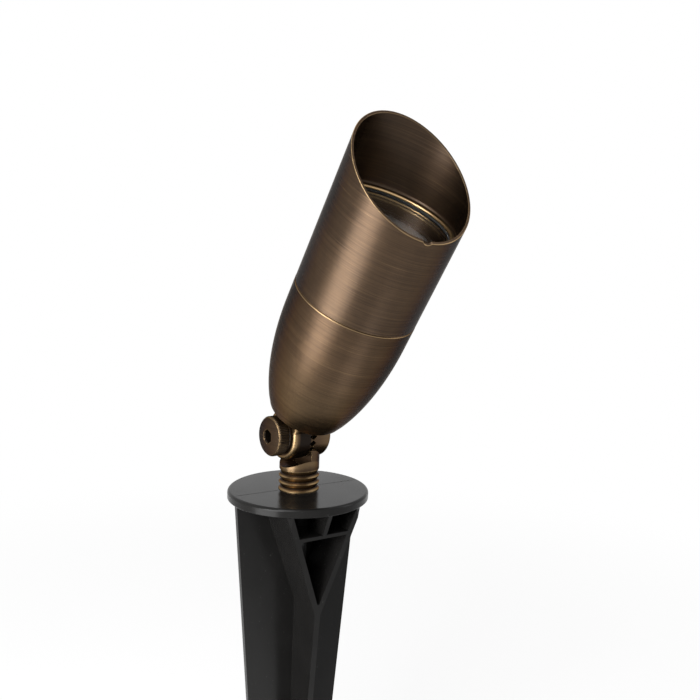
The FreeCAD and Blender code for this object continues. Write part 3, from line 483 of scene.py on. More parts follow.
class Nodes:
    """The node tree of a material or a world, with one method that adds any node."""

    def __init__(self, owner):
        owner.use_nodes = True
        self.owner = owner
        self.tree = owner.node_tree
        self.tree.nodes.clear()

    def add(self, kind, settings=None, sockets=None, output=0):
        """Adds a node: its settings first, then the values or links of its sockets."""
        node = self.tree.nodes.new(kind)
        for key, value in (settings or {}).items():
            setattr(node, key, value)
        for key, value in (sockets or {}).items():
            if isinstance(value, Wire):
                self.tree.links.new(value.socket, node.inputs[key])
            else:
                node.inputs[key].default_value = value
        return Wire(self, node.outputs[output]) if node.outputs else None

    def place(self, origin=(0, 0, 0), lean=0.0):
        """Object coordinates in an upright frame that was leaned about X and lies at origin."""
        coordinates = self.add("ShaderNodeTexCoord", output="Object")
        back = Matrix.Rotation(-lean, 3, "X")
        sockets = {"Vector": coordinates, "Location": -(back @ Vector(origin)),
                   "Rotation": back.to_euler("XYZ")}
        return self.add("ShaderNodeMapping", {"vector_type": "POINT"}, sockets)

    def noise(self, vector, scale, detail=2.0, roughness=0.5):
        """Noise of one size, 0.5 on average."""
        return self.add("ShaderNodeTexNoise", {"noise_dimensions": "3D"},
                        {"Vector": vector, "Scale": scale, "Detail": detail, "Roughness": roughness})

    def streaks(self, vector, scale, detail=3.0, roughness=0.5):
        """Noise with its own number of features a metre along X, Y and Z."""
        scaled = self.add("ShaderNodeVectorMath", {"operation": "MULTIPLY"}, {0: vector, 1: scale})
        return self.noise(scaled, 1.0, detail, roughness)

    def parts(self, vector):
        """The X, Y and Z of a vector."""
        node = self.add("ShaderNodeSeparateXYZ", sockets={"Vector": vector}).socket.node
        return [Wire(self, output) for output in node.outputs]

    def from_axis(self, vector):
        """The distance from the Z axis and the height along it."""
        x, y, z = self.parts(vector)
        return (x * x + y * y) ** 0.5, z

    def blend(self, factor, a, b):
        """Mixes two colours."""
        colours = [c if isinstance(c, Wire) else (*c, 1.0) for c in (a, b)]
        return self.add("ShaderNodeMix", {"data_type": "RGBA", "clamp_factor": True},
                        {0: factor, 6: colours[0], 7: colours[1]}, output=2)

    def wear_and_sheen(self):
        """The piece's own attribute of edge wear and painted highlight."""
        return self.add("ShaderNodeAttribute", {"attribute_name": "wear_and_sheen"}, output="Fac")

    def bump(self, height, strength, distance):
        """A normal that leans with a height, over a distance in millimetres."""
        sockets = {"Height": height, "Strength": strength, "Distance": distance * MM}
        return self.add("ShaderNodeBump", None, sockets)

    def background_share(self):
        """1 for rays from the camera, off gloss and through glass, and 0 for the others."""
        path = self.add("ShaderNodeLightPath").socket.node
        kinds = ("Is Camera Ray", "Is Glossy Ray", "Is Transmission Ray")
        seen, glossy, through = (Wire(self, path.outputs[kind]) for kind in kinds)
        return (seen + glossy + through).clamped()

    def surface(self, **values):
        """The shader of a material. Names take _ for a space."""
        sockets = {key.replace("_", " "): value for key, value in values.items()}
        for key, value in sockets.items():
            if isinstance(value, (tuple, list)) and len(value) == 3:
                sockets[key] = (*value, 1.0)
        shader = self.add("ShaderNodeBsdfPrincipled", None, sockets)
        self.add("ShaderNodeOutputMaterial", None, {"Surface": shader})
        return self.owner


def new_material(name):
    """An empty material, as the nodes that it will be made of."""
    return Nodes(bpy.data.materials.new(name))


# ------ finishes
FINE_STREAKS = (24, 24, 6800)  # features a metre along X, Y and the axis that was brushed round
LONG_STREAKS = (14, 14, 2300)
STREAK_SLANT = math.radians(3.0)
# The colour of dirt, and of painted shade inside the hood, on the barrel's side and in the screw's socket.
DIRT_AND_SHADE = (0.010, 0.0065, 0.0045)
EDGE_TINT = (0.2, 0.17, 0.14)


def finish_settings():
    """The colours that the finishes are made from."""
    return bpy.context.scene.spotlight_finish


def brushed_bronze(name, lean, origin, tone=0.0, grain=1.0, coat=0.15, marks=None):
    """Patinated brass, brushed by hand round its axis.

    Two layers of streaks run round the axis, the longer one a few degrees off the level,
    over slow clouds where more or less of the patina is left. handling(f) gives two masks:
    where the piece turns bright, from wear and from painted highlights, and where it turns
    dark, from dirt and from painted shade.
    """
    s = finish_settings()
    f = new_material(name)
    p = f.place(origin=origin, lean=lean)
    slanted = f.place(origin=origin, lean=lean + STREAK_SLANT)
    fine = f.streaks(p, FINE_STREAKS, roughness=0.6)
    long = f.streaks(slanted, LONG_STREAKS, roughness=0.65)
    clouds = f.noise(p, 30.0)
    mottle = f.noise(p, 260.0)
    mask = (0.5 + tone + (fine - 0.5) * 0.8 * grain + (long - 0.5) * 0.9 * grain
            + (clouds - 0.5) * 0.6 + (mottle - 0.5) * 0.2).clamped()
    bright, dirt_and_shade = marks(f) if marks else (0.0, 0.0)
    base = f.blend(mask, s.bronze_dark, s.bronze_mid)
    glint = long.step(0.60, 0.78) * fine.step(0.45, 0.75) * 0.35 * grain
    # Worn brass, and painted highlights on the lens ledge, the barrel's end, the nose and the rounded edges; glint
    # adds painted glints.
    rubbed_and_highlit = ((f.wear_and_sheen() + bright) * (0.3 + long * 0.8 + fine * 0.3) + glint).clamped()
    base = f.blend(rubbed_and_highlit, base, s.bronze_gold)
    # Dirt, and painted shade where pieces are darkened for shade.
    base = f.blend(dirt_and_shade, base, DIRT_AND_SHADE)
    rough = (0.33 + (fine - 0.5) * 0.25 + (clouds - 0.5) * 0.12 + dirt_and_shade * 0.3).clamped()
    normal = f.bump(fine + long * 1.2, 0.22 * grain, 0.16)
    return f.surface(Base_Color=base, Metallic=1.0, Roughness=rough, Normal=normal,
                     Specular_Tint=EDGE_TINT, Coat_Weight=coat, Coat_Roughness=0.3)


def from_pivot(f):
    """X, and the distance from the knuckle's axis."""
    x, y, z = f.parts(f.place(origin=PIVOT))
    return x, (y * y + z * z) ** 0.5


def body_painted_light(f):
    """Painted light: the bullet's nose is brightened towards worn brass, more than the rest."""
    along = f.parts(f.place(origin=HEAD_POINT, lean=HEAD_LEAN))[2]
    # Painted light: the nose is brightened towards worn brass.
    return along.before(NOSE) * 0.14, 0.0


def hood_highlight_and_shade(f):
    """A painted highlight on the lens ledge, and painted shade on the inside."""
    radius, along = f.from_axis(f.place(origin=HEAD_POINT, lean=HEAD_LEAN))
    inside = radius.before(HOOD_BORE)
    ledge = radius.before(LEDGE_CREST) * along.before(LEDGE_FACE)
    # The ledge's brightness is a painted highlight; the inside's darkness is painted shade.
    return ledge * 0.75, (inside - ledge).clamped() * 0.3


def stem_handling(f):
    """Bright grip rings, saddle lip and tooth tips; dark grooves."""
    x, far = from_pivot(f)
    radius, height = f.from_axis(f.place())
    on_rings = height.before(RINGS_END)
    crest = radius.past(RING_CREST) * on_rings
    groove = radius.before(RING_GROOVE) * on_rings
    lip = far.past(SADDLE_START) * far.before(SADDLE_END) * (1 - on_rings)
    tips = x.before(EAR_TIPS) * far.past(TEETH_START) * far.before(TEETH_END)
    ear = far.before(EAR_END) * x.past(EAR_FACE)
    return crest * 0.5 + lip * 0.16 + tips * 0.7 + ear * 0.12, groove * 0.8


def barrel_wear_and_light(f):
    """A painted highlight on the rounded end, bright worn tooth tips, and painted shade on the side."""
    x, far = from_pivot(f)
    end = x.before(BARREL_CAP) * far.past(BARREL_ROUND)
    tips = x.past(BARREL_TIPS) * far.past(TEETH_START)
    side = x.past(BARREL_SIDE_START) * x.before(BARREL_SIDE_END) * far.past(BARREL_START)
    # The end is a painted highlight, the tips are wear and the side is painted shade.
    return end * 0.4 + tips * 0.5, side * 0.92


def screw_socket_shade_and_knurl(f):
    """Painted shade in the socket, and dark knurling with lighter crests."""
    x, far = from_pivot(f)
    socket = far.before(SOCKET_END)
    side = x.past(SCREW_FACE) * (1 - far.past(KNURL_CREST) * 0.5)
    # The socket's darkness is painted shade in the recess.
    return 0.0, (socket * 0.95 + side * 0.85).clamped()


def black_plastic(name):
    """Moulded black plastic with a fine grain, faint flow marks and a few pale scuffs."""
    s = finish_settings()
    f = new_material(name)
    p = f.place()
    clouds = f.noise(p, 55.0, detail=3.0)
    grain = f.noise(p, 2600.0)
    scuffs = f.streaks(p, (900, 900, 500), detail=1.0).step(0.72, 0.80)
    base = f.blend((clouds - 0.2).clamped(), s.plastic, (0.0095, 0.009, 0.0086))
    base = f.blend((scuffs * 0.25 + f.wear_and_sheen() * 0.3).clamped(), base, (0.07, 0.068, 0.065))
    rough = (0.22 + (clouds - 0.5) * 0.22 + (grain - 0.5) * 0.06).clamped()
    waves = f.noise(p, 130.0)
    normal = f.bump(grain * 0.15 + waves * 3.0, 0.07, 0.1)
    return f.surface(Base_Color=base, Roughness=rough, Normal=normal, Specular_IOR_Level=0.12)


def plain_metal(name, base, roughness):
    """Machined or pressed metal: small changes of tone and gloss."""
    f = new_material(name)
    p = f.place()
    fine = f.streaks(p, (600, 600, 1800))
    clouds = f.noise(p, 80.0)
    dull = tuple(c * 0.72 for c in base)
    shade = f.blend((0.5 + (fine - 0.5) * 0.8 + (clouds - 0.5) * 0.8).clamped(), dull, base)
    rough = (roughness + (fine - 0.5) * 0.15).clamped()
    return f.surface(Base_Color=shade, Metallic=1.0, Roughness=rough,
                     Normal=f.bump(fine, 0.15, 0.05))


def dull_stuff(name, base, roughness):
    """Rubber, ceramic, board or moulded plastic: a speckled, slightly uneven matt surface."""
    f = new_material(name)
    p = f.place()
    speckle = f.noise(p, 900.0, detail=3.0)
    clouds = f.noise(p, 120.0)
    dark = tuple(c * 0.75 for c in base)
    shade = f.blend((0.5 + (speckle - 0.5) + (clouds - 0.5)).clamped(), dark, base)
    return f.surface(Base_Color=shade, Roughness=(roughness + (speckle - 0.5) * 0.2).clamped(),
                     Normal=f.bump(speckle, 0.2, 0.06))


def lens_glass(name):
    """Clear toughened glass with a trace of dust."""
    f = new_material(name)
    p = f.place()
    dust = f.noise(p, 1500.0).step(0.62, 0.85)
    film = f.noise(p, 60.0)
    rough = (0.015 + dust * 0.05 + film * 0.02).clamped()
    return f.surface(Base_Color=(0.93, 0.95, 0.96), Roughness=rough, Transmission_Weight=1.0, IOR=1.5)


def frosted_face(name):
    """The lamp's front: pale plastic that is rough all over."""
    s = finish_settings()
    f = new_material(name)
    p = f.place()
    fine = f.noise(p, 1800.0)
    base = f.blend(fine, tuple(c * 0.8 for c in s.lamp_grey), s.lamp_grey)
    return f.surface(Base_Color=base, Roughness=(0.30 + fine * 0.15).clamped(),
                     Normal=f.bump(fine, 0.2, 0.05), IOR=1.49)


FINISHES = {}


def make_finishes():
    """All materials: one for each slot, and two for pieces that differ from others of their slot."""
    s = finish_settings()
    FINISHES.update({
        "bronze_hood": brushed_bronze("hood_bronze", HEAD_LEAN, HEAD_POINT, tone=-0.03, coat=0.22,
                                      marks=hood_highlight_and_shade),
        "bronze_body": brushed_bronze("body_bronze", HEAD_LEAN, HEAD_POINT, tone=0.06,
                                      marks=body_painted_light),
        # The stem's raised tone is painted light, making up for the dim light on the knuckle.
        "bronze_knuckle": brushed_bronze("stem_bronze", 0.0, PIVOT, tone=0.1, grain=0.5,
                                         marks=stem_handling),
        "bronze_barrel": brushed_bronze("barrel_bronze", 0.0, PIVOT, grain=0.5,
                                        marks=barrel_wear_and_light),
        "bronze_screw": brushed_bronze("screw_bronze", 0.0, PIVOT, tone=-0.12, grain=0.6,
                                       marks=screw_socket_shade_and_knurl),
        "washer_steel": plain_metal("washer_steel", (0.16, 0.14, 0.12), 0.45),
        "black_plastic": black_plastic("spike_plastic"),
        "clear_glass": lens_glass("lens_glass"),
        "black_rubber": dull_stuff("seal_rubber", s.rubber, 0.6),
        "stainless": plain_metal("stainless", s.steel, 0.3),
        "brass_plain": plain_metal("plain_brass", (0.10, 0.066, 0.036), 0.4),
        "lamp_aluminium": plain_metal("lamp_aluminium", (0.045, 0.045, 0.047), 0.4),
        "clear_plastic": frosted_face("lamp_front"),
        "board_white": dull_stuff("board_white", (0.72, 0.72, 0.7), 0.45),
        "phosphor": dull_stuff("phosphor", (0.75, 0.55, 0.08), 0.35),
        "white_plastic": dull_stuff("white_plastic", (0.68, 0.68, 0.66), 0.42),
        "ceramic": dull_stuff("ceramic", (0.74, 0.7, 0.62), 0.55),
        "lead_sleeve": dull_stuff("lead_sleeve", (0.62, 0.61, 0.58), 0.5),
    })


# ------ pieces
def mouth_plane(s, angle, radius):
    """Height of the slanted mouth at an angle and a radius."""
    middle = (s.mouth_short + s.mouth_long) / 2
    slope = (s.mouth_long - s.mouth_short) / (2 * s.hood_radius)
    return middle + slope * radius * np.cos(angle - math.pi / 2 - s.mouth_turn)


def notch_drop(s, angle, radius):
    """How far the drain notch lowers the rim: a round cut across the short side.

    At a distance t across the notch the cut is sqrt(R^2 - t^2) - rise deep, never under 0.
    """
    centre = math.pi * 1.5 + s.mouth_turn
    across = radius * np.sin(angle - centre)
    inside = np.sqrt(np.clip(s.notch_radius ** 2 - across ** 2, 0, None)) - s.notch_rise
    near = np.cos(angle - centre) > 0
    return np.where(near, np.clip(inside, 0, None), 0)


def notched_angles(s):
    """Even angles, with more of them across the drain notch."""
    centre = (math.pi * 1.5 + s.mouth_turn) % TURN
    half = 1.25 * s.notch_radius / s.hood_radius
    fine = np.linspace(centre - half, centre + half, NOTCH_ROUND)
    return np.unique(np.concatenate([even_angles(HOOD_ROUND), fine % TURN]).round(9))


def hood_surface():
    """The hood: a turned wall with a lens ledge, stretched up to its slanted, notched mouth.

    The profile is drawn up to one height, above the whole mouth. At each angle a point that
    is a share of the way up its wall moves to foot + share * (rim - foot), where rim is the
    mouth's plane less the notch's drop. The last millimetre moves with the rim, unstretched.
    """
    s = bpy.context.scene.spotlight_head
    bore = s.hood_radius - s.hood_wall
    crest = s.ledge_foot + s.ledge_thick
    high = s.mouth_long + 10 * MM
    # The last number of each corner is wear and painted highlight: the mouth's rim and the ledge's crest are
    # brightened as painted highlights.
    corners = [
        (s.thread_radius, s.hood_foot, 0.25 * MM, 0.3), (s.hood_radius, s.hood_foot, 0.4 * MM, 0.9),
        (s.hood_radius, high, s.rim_round, 0.6), (bore, high, s.rim_round, 0.25),
        (bore, crest, 1.5 * MM, 0.0), (s.ledge_radius, crest, 0.8 * MM, 0.9),
        (s.ledge_radius, s.ledge_foot, 0.15 * MM, 0.3), (bore, s.ledge_foot, 0.1 * MM, 0.0),
        (bore, s.thread_top, 0.3 * MM, 0.0), (s.thread_radius, s.thread_top, 0.3 * MM, 0.0)]
    profile, wear_and_sheen = rounded(corners)
    profile, wear_and_sheen = subdivided(profile, wear_and_sheen, 3.0 * MM)
    wall_start = crest + 1.6 * MM
    foot = np.where(profile[:, 0] > (bore + s.hood_radius) / 2, s.hood_foot, wall_start)
    on_wall = (profile[:, 1] > wall_start) | (profile[:, 0] > bore + 0.3 * MM)
    share = np.clip(np.where(on_wall, (profile[:, 1] - foot) / (high - foot), 0), 0, 1)

    def slanted(angle, r, z):
        rim = mouth_plane(s, angle, r) - notch_drop(s, angle, r)
        near_rim = z - high > -1.0 * MM
        stretched = foot + share * (rim - foot)
        return np.where(share > 0, np.where(near_rim, rim + (z - high), stretched), z)

    grid = turned_grid(profile, wear_and_sheen, notched_angles(s), axial=slanted)
    obj = mesh_object("hood_shell", [grid], in_head)
    finish_piece(obj, "hood", FINISHES["bronze_hood"], "bronze_hood", "hood")


def bullet_line(radius, nose, full, start, count):
    """Points of a quarter ellipse from height start up to its full radius.

    At angle t the radius is radius * sin(t) and the height full - nose * cos(t).
    """
    first = math.acos((full - start) / nose)
    t = np.linspace(first, math.pi / 2, count)
    return np.stack([radius * np.sin(t), full - nose * np.cos(t)], -1)


def body_surface():
    """The bullet with its seam, the spigot with two seal grooves, and the hollow inside.

    Both faces of the bullet's wall are quarter ellipses, turned round the axis.
    """
    s = bpy.context.scene.spotlight_head
    outer = bullet_line(s.body_radius, s.body_nose, s.body_full, s.body_end, OUTER_CURVE)
    inner_r = s.body_radius - s.body_wall
    inner = bullet_line(inner_r, s.body_nose - s.body_wall, s.body_full,
                        s.body_end + s.body_end_wall, INNER_CURVE)
    soft = 0.25 * MM
    corners = [(s.hub_hole, s.body_end, soft, 0.2), (*outer[0], 2.5 * MM, 0.35)]
    past_corner = 6     # the round corner takes the place of the first few points
    corners += [(r, z, 0, 0.0) for r, z in outer[past_corner:]]
    corners += [(s.body_radius, s.seam - 0.45 * MM, 0.3 * MM, 0.8),
                (s.body_radius - 0.45 * MM, s.seam, 0.2 * MM, 0.5),
                (s.spigot_radius, s.seam, 0.1 * MM, 0.0)]
    for middle in s.groove_places:
        low, high = middle - s.groove_width / 2, middle + s.groove_width / 2
        floor = s.spigot_radius - s.groove_depth
        corners += [(s.spigot_radius, low, 0.15 * MM, 0.6), (floor, low, soft, 0.0),
                    (floor, high, soft, 0.0), (s.spigot_radius, high, 0.15 * MM, 0.6)]
    bore = s.spigot_radius - s.spigot_wall
    corners += [(s.spigot_radius, s.spigot_top, 0.6 * MM, 0.8), (bore, s.spigot_top, 0.4 * MM, 0.5),
                (bore, s.seam, 1.0 * MM, 0.0), (inner_r, s.seam - (inner_r - bore), 1.0 * MM, 0.0)]
    corners += [(r, z, 0, 0.0) for r, z in inner[::-1]]
    corners += [(s.hub_hole, inner[0][1], soft, 0.0)]
    profile, wear_and_sheen = rounded(corners)
    grids = [turned_grid(profile, wear_and_sheen, even_angles(BODY_ROUND))]
    for side in (-1, 1):
        post = [(0.0, s.boss_foot, 0, 0), (s.boss_radius, s.boss_foot, 0, 0),
                (s.boss_radius, s.boss_top, soft, 0.3), (0.0, s.boss_top, 0, 0)]
        points, worn_and_sheen = turned_grid(*rounded(post), even_angles(POST_ROUND))
        grids.append((points + np.array([side * s.boss_offset, 0, 0]), worn_and_sheen))
    obj = mesh_object("body_shell", grids, in_head)
    finish_piece(obj, "head", FINISHES["bronze_body"], "bronze_body", "body_housing")


def knurl(angle, count):
    """A triangle wave round the screw: 0 on a ridge and 1 in a groove."""
    phase = np.mod(angle * count / TURN, 1.0)
    return 1 - np.abs(2 * phase - 1)


def hexagon_radius(angle, flats, corner_round):
    """Distance from the middle to a hexagon's side: flats / 2 / cos(angle from the side's middle).

    It never comes within corner_round of a corner.
    """
    local = np.mod(angle, TURN / 6) - TURN / 12
    side = flats / 2 / np.cos(local)
    return np.minimum(side, flats / 2 / math.cos(TURN / 12) - corner_round)


def screw_surface():
    """The knurled head with its domed face and hexagon socket, and the shank.

    Heights run outwards from the face of the washer. The face is a flat dome:
    its height falls with the square of the distance from the middle.
    """
    s = bpy.context.scene.spotlight_screw
    flat = s.head_radius - s.knurl_depth - s.chamfer
    hex_corner = s.hex_flats / 2 / math.cos(TURN / 12)
    rim = hex_corner + s.hex_chamfer
    crown = s.head_thick + s.dome

    def dome(r):
        return s.head_thick + s.dome * (1 - (r / flat) ** 2)

    soft = 0.12 * MM
    floor = crown - s.hex_depth
    radii = np.linspace(rim + 0.25 * MM, flat - 0.2 * MM, DOME_CURVE)
    corners = [(0.0, floor - 0.5 * MM, 0, 0.0), (hex_corner * 0.5, floor, 0, 0.0),
               (hex_corner, floor, 0.1 * MM, 0.0),
               (hex_corner, crown - 1.0 * MM, 0.08 * MM, 0.1), (rim, dome(rim), soft, 0.3)]
    corners += [(r, dome(r), 0, 0.0) for r in radii]
    corners += [(flat, s.head_thick, soft, 0.8),
                (s.head_radius, s.head_thick - 2 * s.chamfer, soft, 1.0),
                (s.head_radius, 2 * s.chamfer, soft, 0.7), (flat, 0.0, soft, 0.3),
                (s.shank_radius, 0.0, 0.1 * MM, 0.0),
                (s.shank_radius, -s.shank_length, 0.4 * MM, 0.2), (0.0, -s.shank_length, 0, 0.0)]
    profile, wear_and_sheen = rounded(corners, steps=4, hold=0)
    heights = profile[:, 1]
    socket = np.arange(len(profile)) <= np.argmax(heights)
    side = profile[:, 0] > flat + 0.05 * MM

    def shaped(angle, r):
        to_hexagon = hexagon_radius(angle, s.hex_flats, 0.15 * MM) / hex_corner
        grooved = r - s.knurl_depth * knurl(angle, s.knurl_count)
        return np.where(socket, r * to_hexagon, np.where(side, np.maximum(grooved, flat), r))

    points, worn_and_sheen = turned_grid(profile, wear_and_sheen, even_angles(s.knurl_count * RIDGE_ROUND), radial=shaped)
    points = points * np.array([1, 1, -1]) + np.array([0, 0, s.washer_face])
    obj = mesh_object("screw_head", [(points, worn_and_sheen)], on_pivot)
    finish_piece(obj, "thumb_screw", FINISHES["bronze_screw"], "bronze_screw", "thumb_screw")


def washer_surface():
    """The washer: a flat ring with rounded edges, thinner by a gap on each side."""
    s = bpy.context.scene.spotlight_screw
    bore = s.shank_radius + 0.2 * MM
    outer, soft, gap = s.washer_radius, 0.15 * MM, 0.03 * MM
    low, high = gap, s.washer_thick - gap
    corners = [(bore, low, soft, 0.3), (outer, low, soft, 0.6),
               (outer, high, soft, 0.6), (bore, high, soft, 0.3)]
    points, worn_and_sheen = turned_grid(*rounded(corners), even_angles(WASHER_ROUND))
    points = points + np.array([0, 0, s.washer_face])
    obj = mesh_object("washer_ring", [(points, worn_and_sheen)], on_pivot)
    finish_piece(obj, "screw_washer", FINISHES["washer_steel"], "stainless", "pivot_washer")


def softened_pieces():
    """The cast and moulded pieces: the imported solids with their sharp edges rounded."""
    for name, node, width, body, finish, slot in (
            ("spike_moulding", "ground_spike", MOULDED_EDGE, "spike", "black_plastic", "black_plastic"),
            ("stem_casting", "lower_knuckle", CAST_EDGE, "stem", "bronze_knuckle", "bronze_knuckle"),
            ("barrel_casting", "upper_knuckle", CAST_EDGE, "head", "bronze_barrel", "bronze_knuckle")):
        obj = softened_copy(name, node, width)
        finish_piece(obj, body, FINISHES[finish], slot, node)


def parting_line():
    """The mould's faint raised line across the flange, in line with the blade.

    Each half is a thin bar whose section is an ellipse, half the line's width by its height.
    It tapers at both ends: at a share t of its length it has 20 t + 0.05 of its size, or
    20 (1 - t) + 0.05 where that is less, and never more than all of it.
    """
    s = bpy.context.scene.spotlight_spike
    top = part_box("ground_spike")[1].z
    t = np.linspace(0, 1, LINE_LONG)
    half = s.line_width / 2
    around = even_angles(LINE_ROUND)
    vertices, faces = [], []
    for side in (1, -1):
        run = side * (s.line_start + t * (s.line_end - s.line_start))
        taper = np.minimum(1, np.minimum(t, 1 - t) * 20 + 0.05)[:, None]
        across = half * np.cos(around)[None] * taper
        height = top + s.line_height * np.sin(around)[None] * taper
        c, n = math.cos(s.blade_turn), math.sin(s.blade_turn)
        points = np.stack([run[:, None] * c - across * n, run[:, None] * n + across * c, height], -1)
        faces.append(grid_faces(len(t), len(around), close_rows=False) + len(vertices) * points[..., 0].size)
        vertices.append(points.reshape(-1, 3))
    mesh = bpy.data.meshes.new("flange_line")
    mesh.from_pydata(np.concatenate(vertices), [], np.concatenate(faces))
    obj = cleaned("flange_line", mesh)
    finish_piece(obj, "spike", FINISHES["black_plastic"], "black_plastic")


class PieceOperator:
    """What all the operators of this add-on share."""
    bl_options = {"REGISTER", "UNDO"}


class SPOTLIGHT_OT_finishes(PieceOperator, bpy.types.Operator):
    """Makes the materials of all pieces"""
    bl_idname = "spotlight.finishes"
    bl_label = "Make finishes"

    def execute(self, context):
        make_finishes()
        return {"FINISHED"}


class SPOTLIGHT_OT_hood(PieceOperator, bpy.types.Operator):
    """Makes the hood with its slanted mouth, drain notch and lens ledge"""
    bl_idname = "spotlight.hood"
    bl_label = "Make hood"

    def execute(self, context):
        hood_surface()
        return {"FINISHED"}


class SPOTLIGHT_OT_body(PieceOperator, bpy.types.Operator):
    """Makes the bullet body with its spigot"""
    bl_idname = "spotlight.body"
    bl_label = "Make body"

    def execute(self, context):
        body_surface()
        return {"FINISHED"}


class SPOTLIGHT_OT_screw(PieceOperator, bpy.types.Operator):
    """Makes the thumb screw and its washer"""
    bl_idname = "spotlight.screw"
    bl_label = "Make screw"

    def execute(self, context):
        screw_surface()
        washer_surface()
        return {"FINISHED"}


class SPOTLIGHT_OT_castings(PieceOperator, bpy.types.Operator):
    """Makes the spike and both halves of the knuckle with rounded edges"""
    bl_idname = "spotlight.castings"
    bl_label = "Make castings"

    def execute(self, context):
        softened_pieces()
        parting_line()
        return {"FINISHED"}


class SPOTLIGHT_OT_inner_pieces(PieceOperator, bpy.types.Operator):
    """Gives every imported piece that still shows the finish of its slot"""
    bl_idname = "spotlight.inner_pieces"
    bl_label = "Finish packed pieces"

    def execute(self, context):
        for part in frame["record"]["subparts"]:
            node = frame["nodes"][part["node"]]
            if node.hide_render:
                continue
            node.data.materials.clear()
            node.data.materials.append(FINISHES[part["material_slot"]])
        return {"FINISHED"}


class SPOTLIGHT_OT_stage(PieceOperator, bpy.types.Operator):
    """Makes the floor, the studio light and the camera"""
    bl_idname = "spotlight.stage"
    bl_label = "Make stage"

    def execute(self, context):
        make_floor()
        make_lights()
        make_world()
        make_camera()
        context.scene.view_settings.view_transform = "Standard"
        return {"FINISHED"}


# ------ stage
def make_floor():
    """A pale floor under the spike's tip. It turns white away from the object's soft shadow."""
    low = float(cad_box[0][2])
    mesh = bpy.data.meshes.new("floor")
    turns = ((-1, -1), (1, -1), (1, 1), (-1, 1))
    mesh.from_pydata([(x * FLOOR_HALF, y * FLOOR_HALF, low) for x, y in turns], [], [(0, 1, 2, 3)])
    floor = linked("floor", mesh)
    f = new_material("pale_floor")
    diffuse = f.add("ShaderNodeBsdfDiffuse", None, {"Color": (0.8, 0.8, 0.8, 1)})
    glow = f.add("ShaderNodeEmission", None, {"Color": (1, 1, 1, 1), "Strength": 1.0})
    away = f.add("ShaderNodeVectorMath", {"operation": "LENGTH"}, {0: f.place()}, output="Value")
    share = f.background_share() * (FLOOR_WHITE + away.past(FLOOR_FADE) * (1 - FLOOR_WHITE))
    mixed = f.add("ShaderNodeMixShader", None, {0: share, 1: diffuse, 2: glow})
    f.add("ShaderNodeOutputMaterial", None, {"Surface": mixed})
    mesh.materials.append(f.owner)


def area_light(name, direction, distance, size, watts):
    """A soft light that shines on the head from a direction. The camera doesn't see it."""
    light = bpy.data.lights.new(name, "AREA")
    light.shape = "RECTANGLE"
    light.size, light.size_y = size
    light.energy = watts
    obj = linked(name, light)
    obj.location = LIT_POINT + Vector(direction).normalized() * distance
    obj.rotation_euler = (LIT_POINT - obj.location).to_track_quat("-Z", "Y").to_euler()
    obj.visible_camera = False


def make_lights():
    """A key light from the left, a fill from the right, one above, and three smaller ones.

    The head is seen along its length, so its sides mirror what lies low beside it: the low
    left strip makes the bright band along it, and the low right one a faint gleam. The mouth
    light shines into the hood and makes the soft patch on its inner wall.
    """
    for light in LIGHTS:
        area_light(*light)


def make_world():
    """A world that shows white to the camera, to gloss and through glass, and lights softly."""
    world = bpy.data.worlds.new("studio")
    bpy.context.scene.world = world
    w = Nodes(world)
    soft = w.add("ShaderNodeBackground", None, {"Strength": SOFT_LIGHT})
    white = w.add("ShaderNodeBackground", None, {"Color": (1, 1, 1, 1), "Strength": 1.0})
    mixed = w.add("ShaderNodeMixShader", None, {0: w.background_share(), 1: soft, 2: white})
    w.add("ShaderNodeOutputWorld", None, {"Surface": mixed})


def direction_at(azimuth, elevation):
    """The unit vector at an azimuth, which is 0 at -Y, and an elevation."""
    level = math.cos(elevation)
    return Vector((math.sin(azimuth) * level, -math.cos(azimuth) * level, math.sin(elevation)))


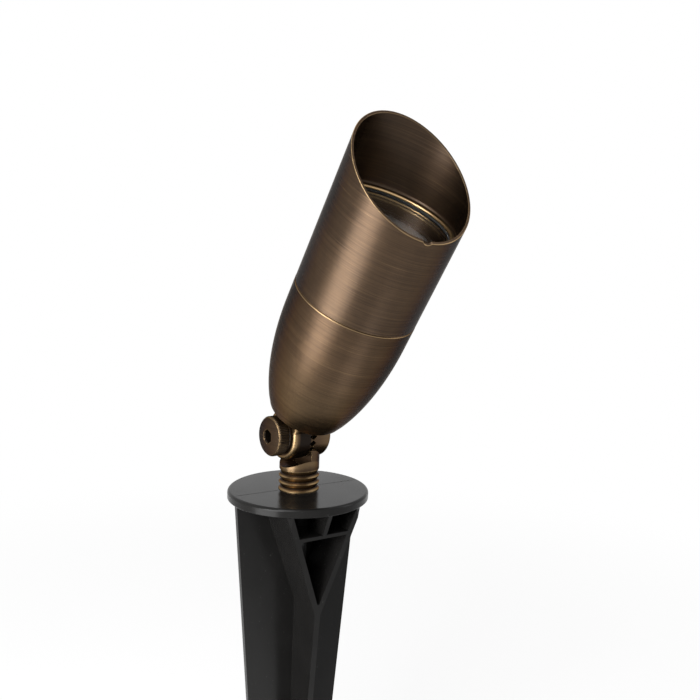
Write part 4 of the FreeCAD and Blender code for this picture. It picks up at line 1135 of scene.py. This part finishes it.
def make_camera():
    """The photograph's camera: its place and direction, with a small lens shift."""
    s = bpy.context.scene.spotlight_stage
    top = Vector((0, 0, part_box("ground_spike")[1].z))
    place = direction_at(s.camera_azimuth, s.camera_elevation) * s.camera_distance + top
    back = direction_at(s.aim_azimuth, s.aim_elevation)
    right = Vector((math.cos(s.aim_azimuth), math.sin(s.aim_azimuth), 0))
    up = back.cross(right)
    c, t = math.cos(s.roll), math.sin(s.roll)
    right, up = right * c + up * t, up * c - right * t
    camera = bpy.data.cameras.new("photo_camera")
    camera.sensor_width = SENSOR_WIDTH
    camera.lens = s.focal_pixels * SENSOR_WIDTH / IMAGE_SIDE
    camera.shift_x = (IMAGE_SIDE / 2 - s.centre_x) / IMAGE_SIDE
    camera.shift_y = (s.centre_y - IMAGE_SIDE / 2) / IMAGE_SIDE
    camera.clip_start, camera.clip_end = 0.01, 50.0
    obj = linked("photo_camera", camera)
    rows = [(right[i], up[i], back[i], place[i]) for i in range(3)]
    obj.matrix_world = Matrix(rows + [(0, 0, 0, 1)])
    bpy.context.scene.camera = obj


class SPOTLIGHT_PT_panel(bpy.types.Panel):
    """The operators of the spotlight in the 3D view's sidebar"""
    bl_label = "Garden spike spotlight"
    bl_idname = "SPOTLIGHT_PT_panel"
    bl_space_type = "VIEW_3D"
    bl_region_type = "UI"
    bl_category = "Spotlight"

    def draw(self, context):
        for operator in OPERATORS:
            self.layout.operator(operator.bl_idname)


SETTINGS = {
    "spotlight_head": SpotlightHeadSettings,
    "spotlight_screw": SpotlightScrewSettings,
    "spotlight_spike": SpotlightSpikeSettings,
    "spotlight_finish": SpotlightFinishSettings,
    "spotlight_stage": SpotlightStageSettings,
}
OPERATORS = [SPOTLIGHT_OT_finishes, SPOTLIGHT_OT_hood, SPOTLIGHT_OT_body, SPOTLIGHT_OT_screw,
             SPOTLIGHT_OT_castings, SPOTLIGHT_OT_inner_pieces, SPOTLIGHT_OT_stage]


def register():
    """Adds the settings, the operators and the panel to Blender."""
    for name, group in SETTINGS.items():
        bpy.utils.register_class(group)
        setattr(bpy.types.Scene, name, bpy.props.PointerProperty(type=group))
    for operator in OPERATORS:
        bpy.utils.register_class(operator)
    bpy.utils.register_class(SPOTLIGHT_PT_panel)


def unregister():
    """Takes away what register() added."""
    bpy.utils.unregister_class(SPOTLIGHT_PT_panel)
    for operator in reversed(OPERATORS):
        bpy.utils.unregister_class(operator)
    for name, group in SETTINGS.items():
        delattr(bpy.types.Scene, name)
        bpy.utils.unregister_class(group)


def main():
    """Builds the whole scene, one operator after another."""
    register()
    bpy.ops.spotlight.finishes()
    bpy.ops.spotlight.hood()
    bpy.ops.spotlight.body()
    bpy.ops.spotlight.screw()
    bpy.ops.spotlight.castings()
    bpy.ops.spotlight.inner_pieces()
    bpy.ops.spotlight.stage()


if __name__ == "__main__":
    main()
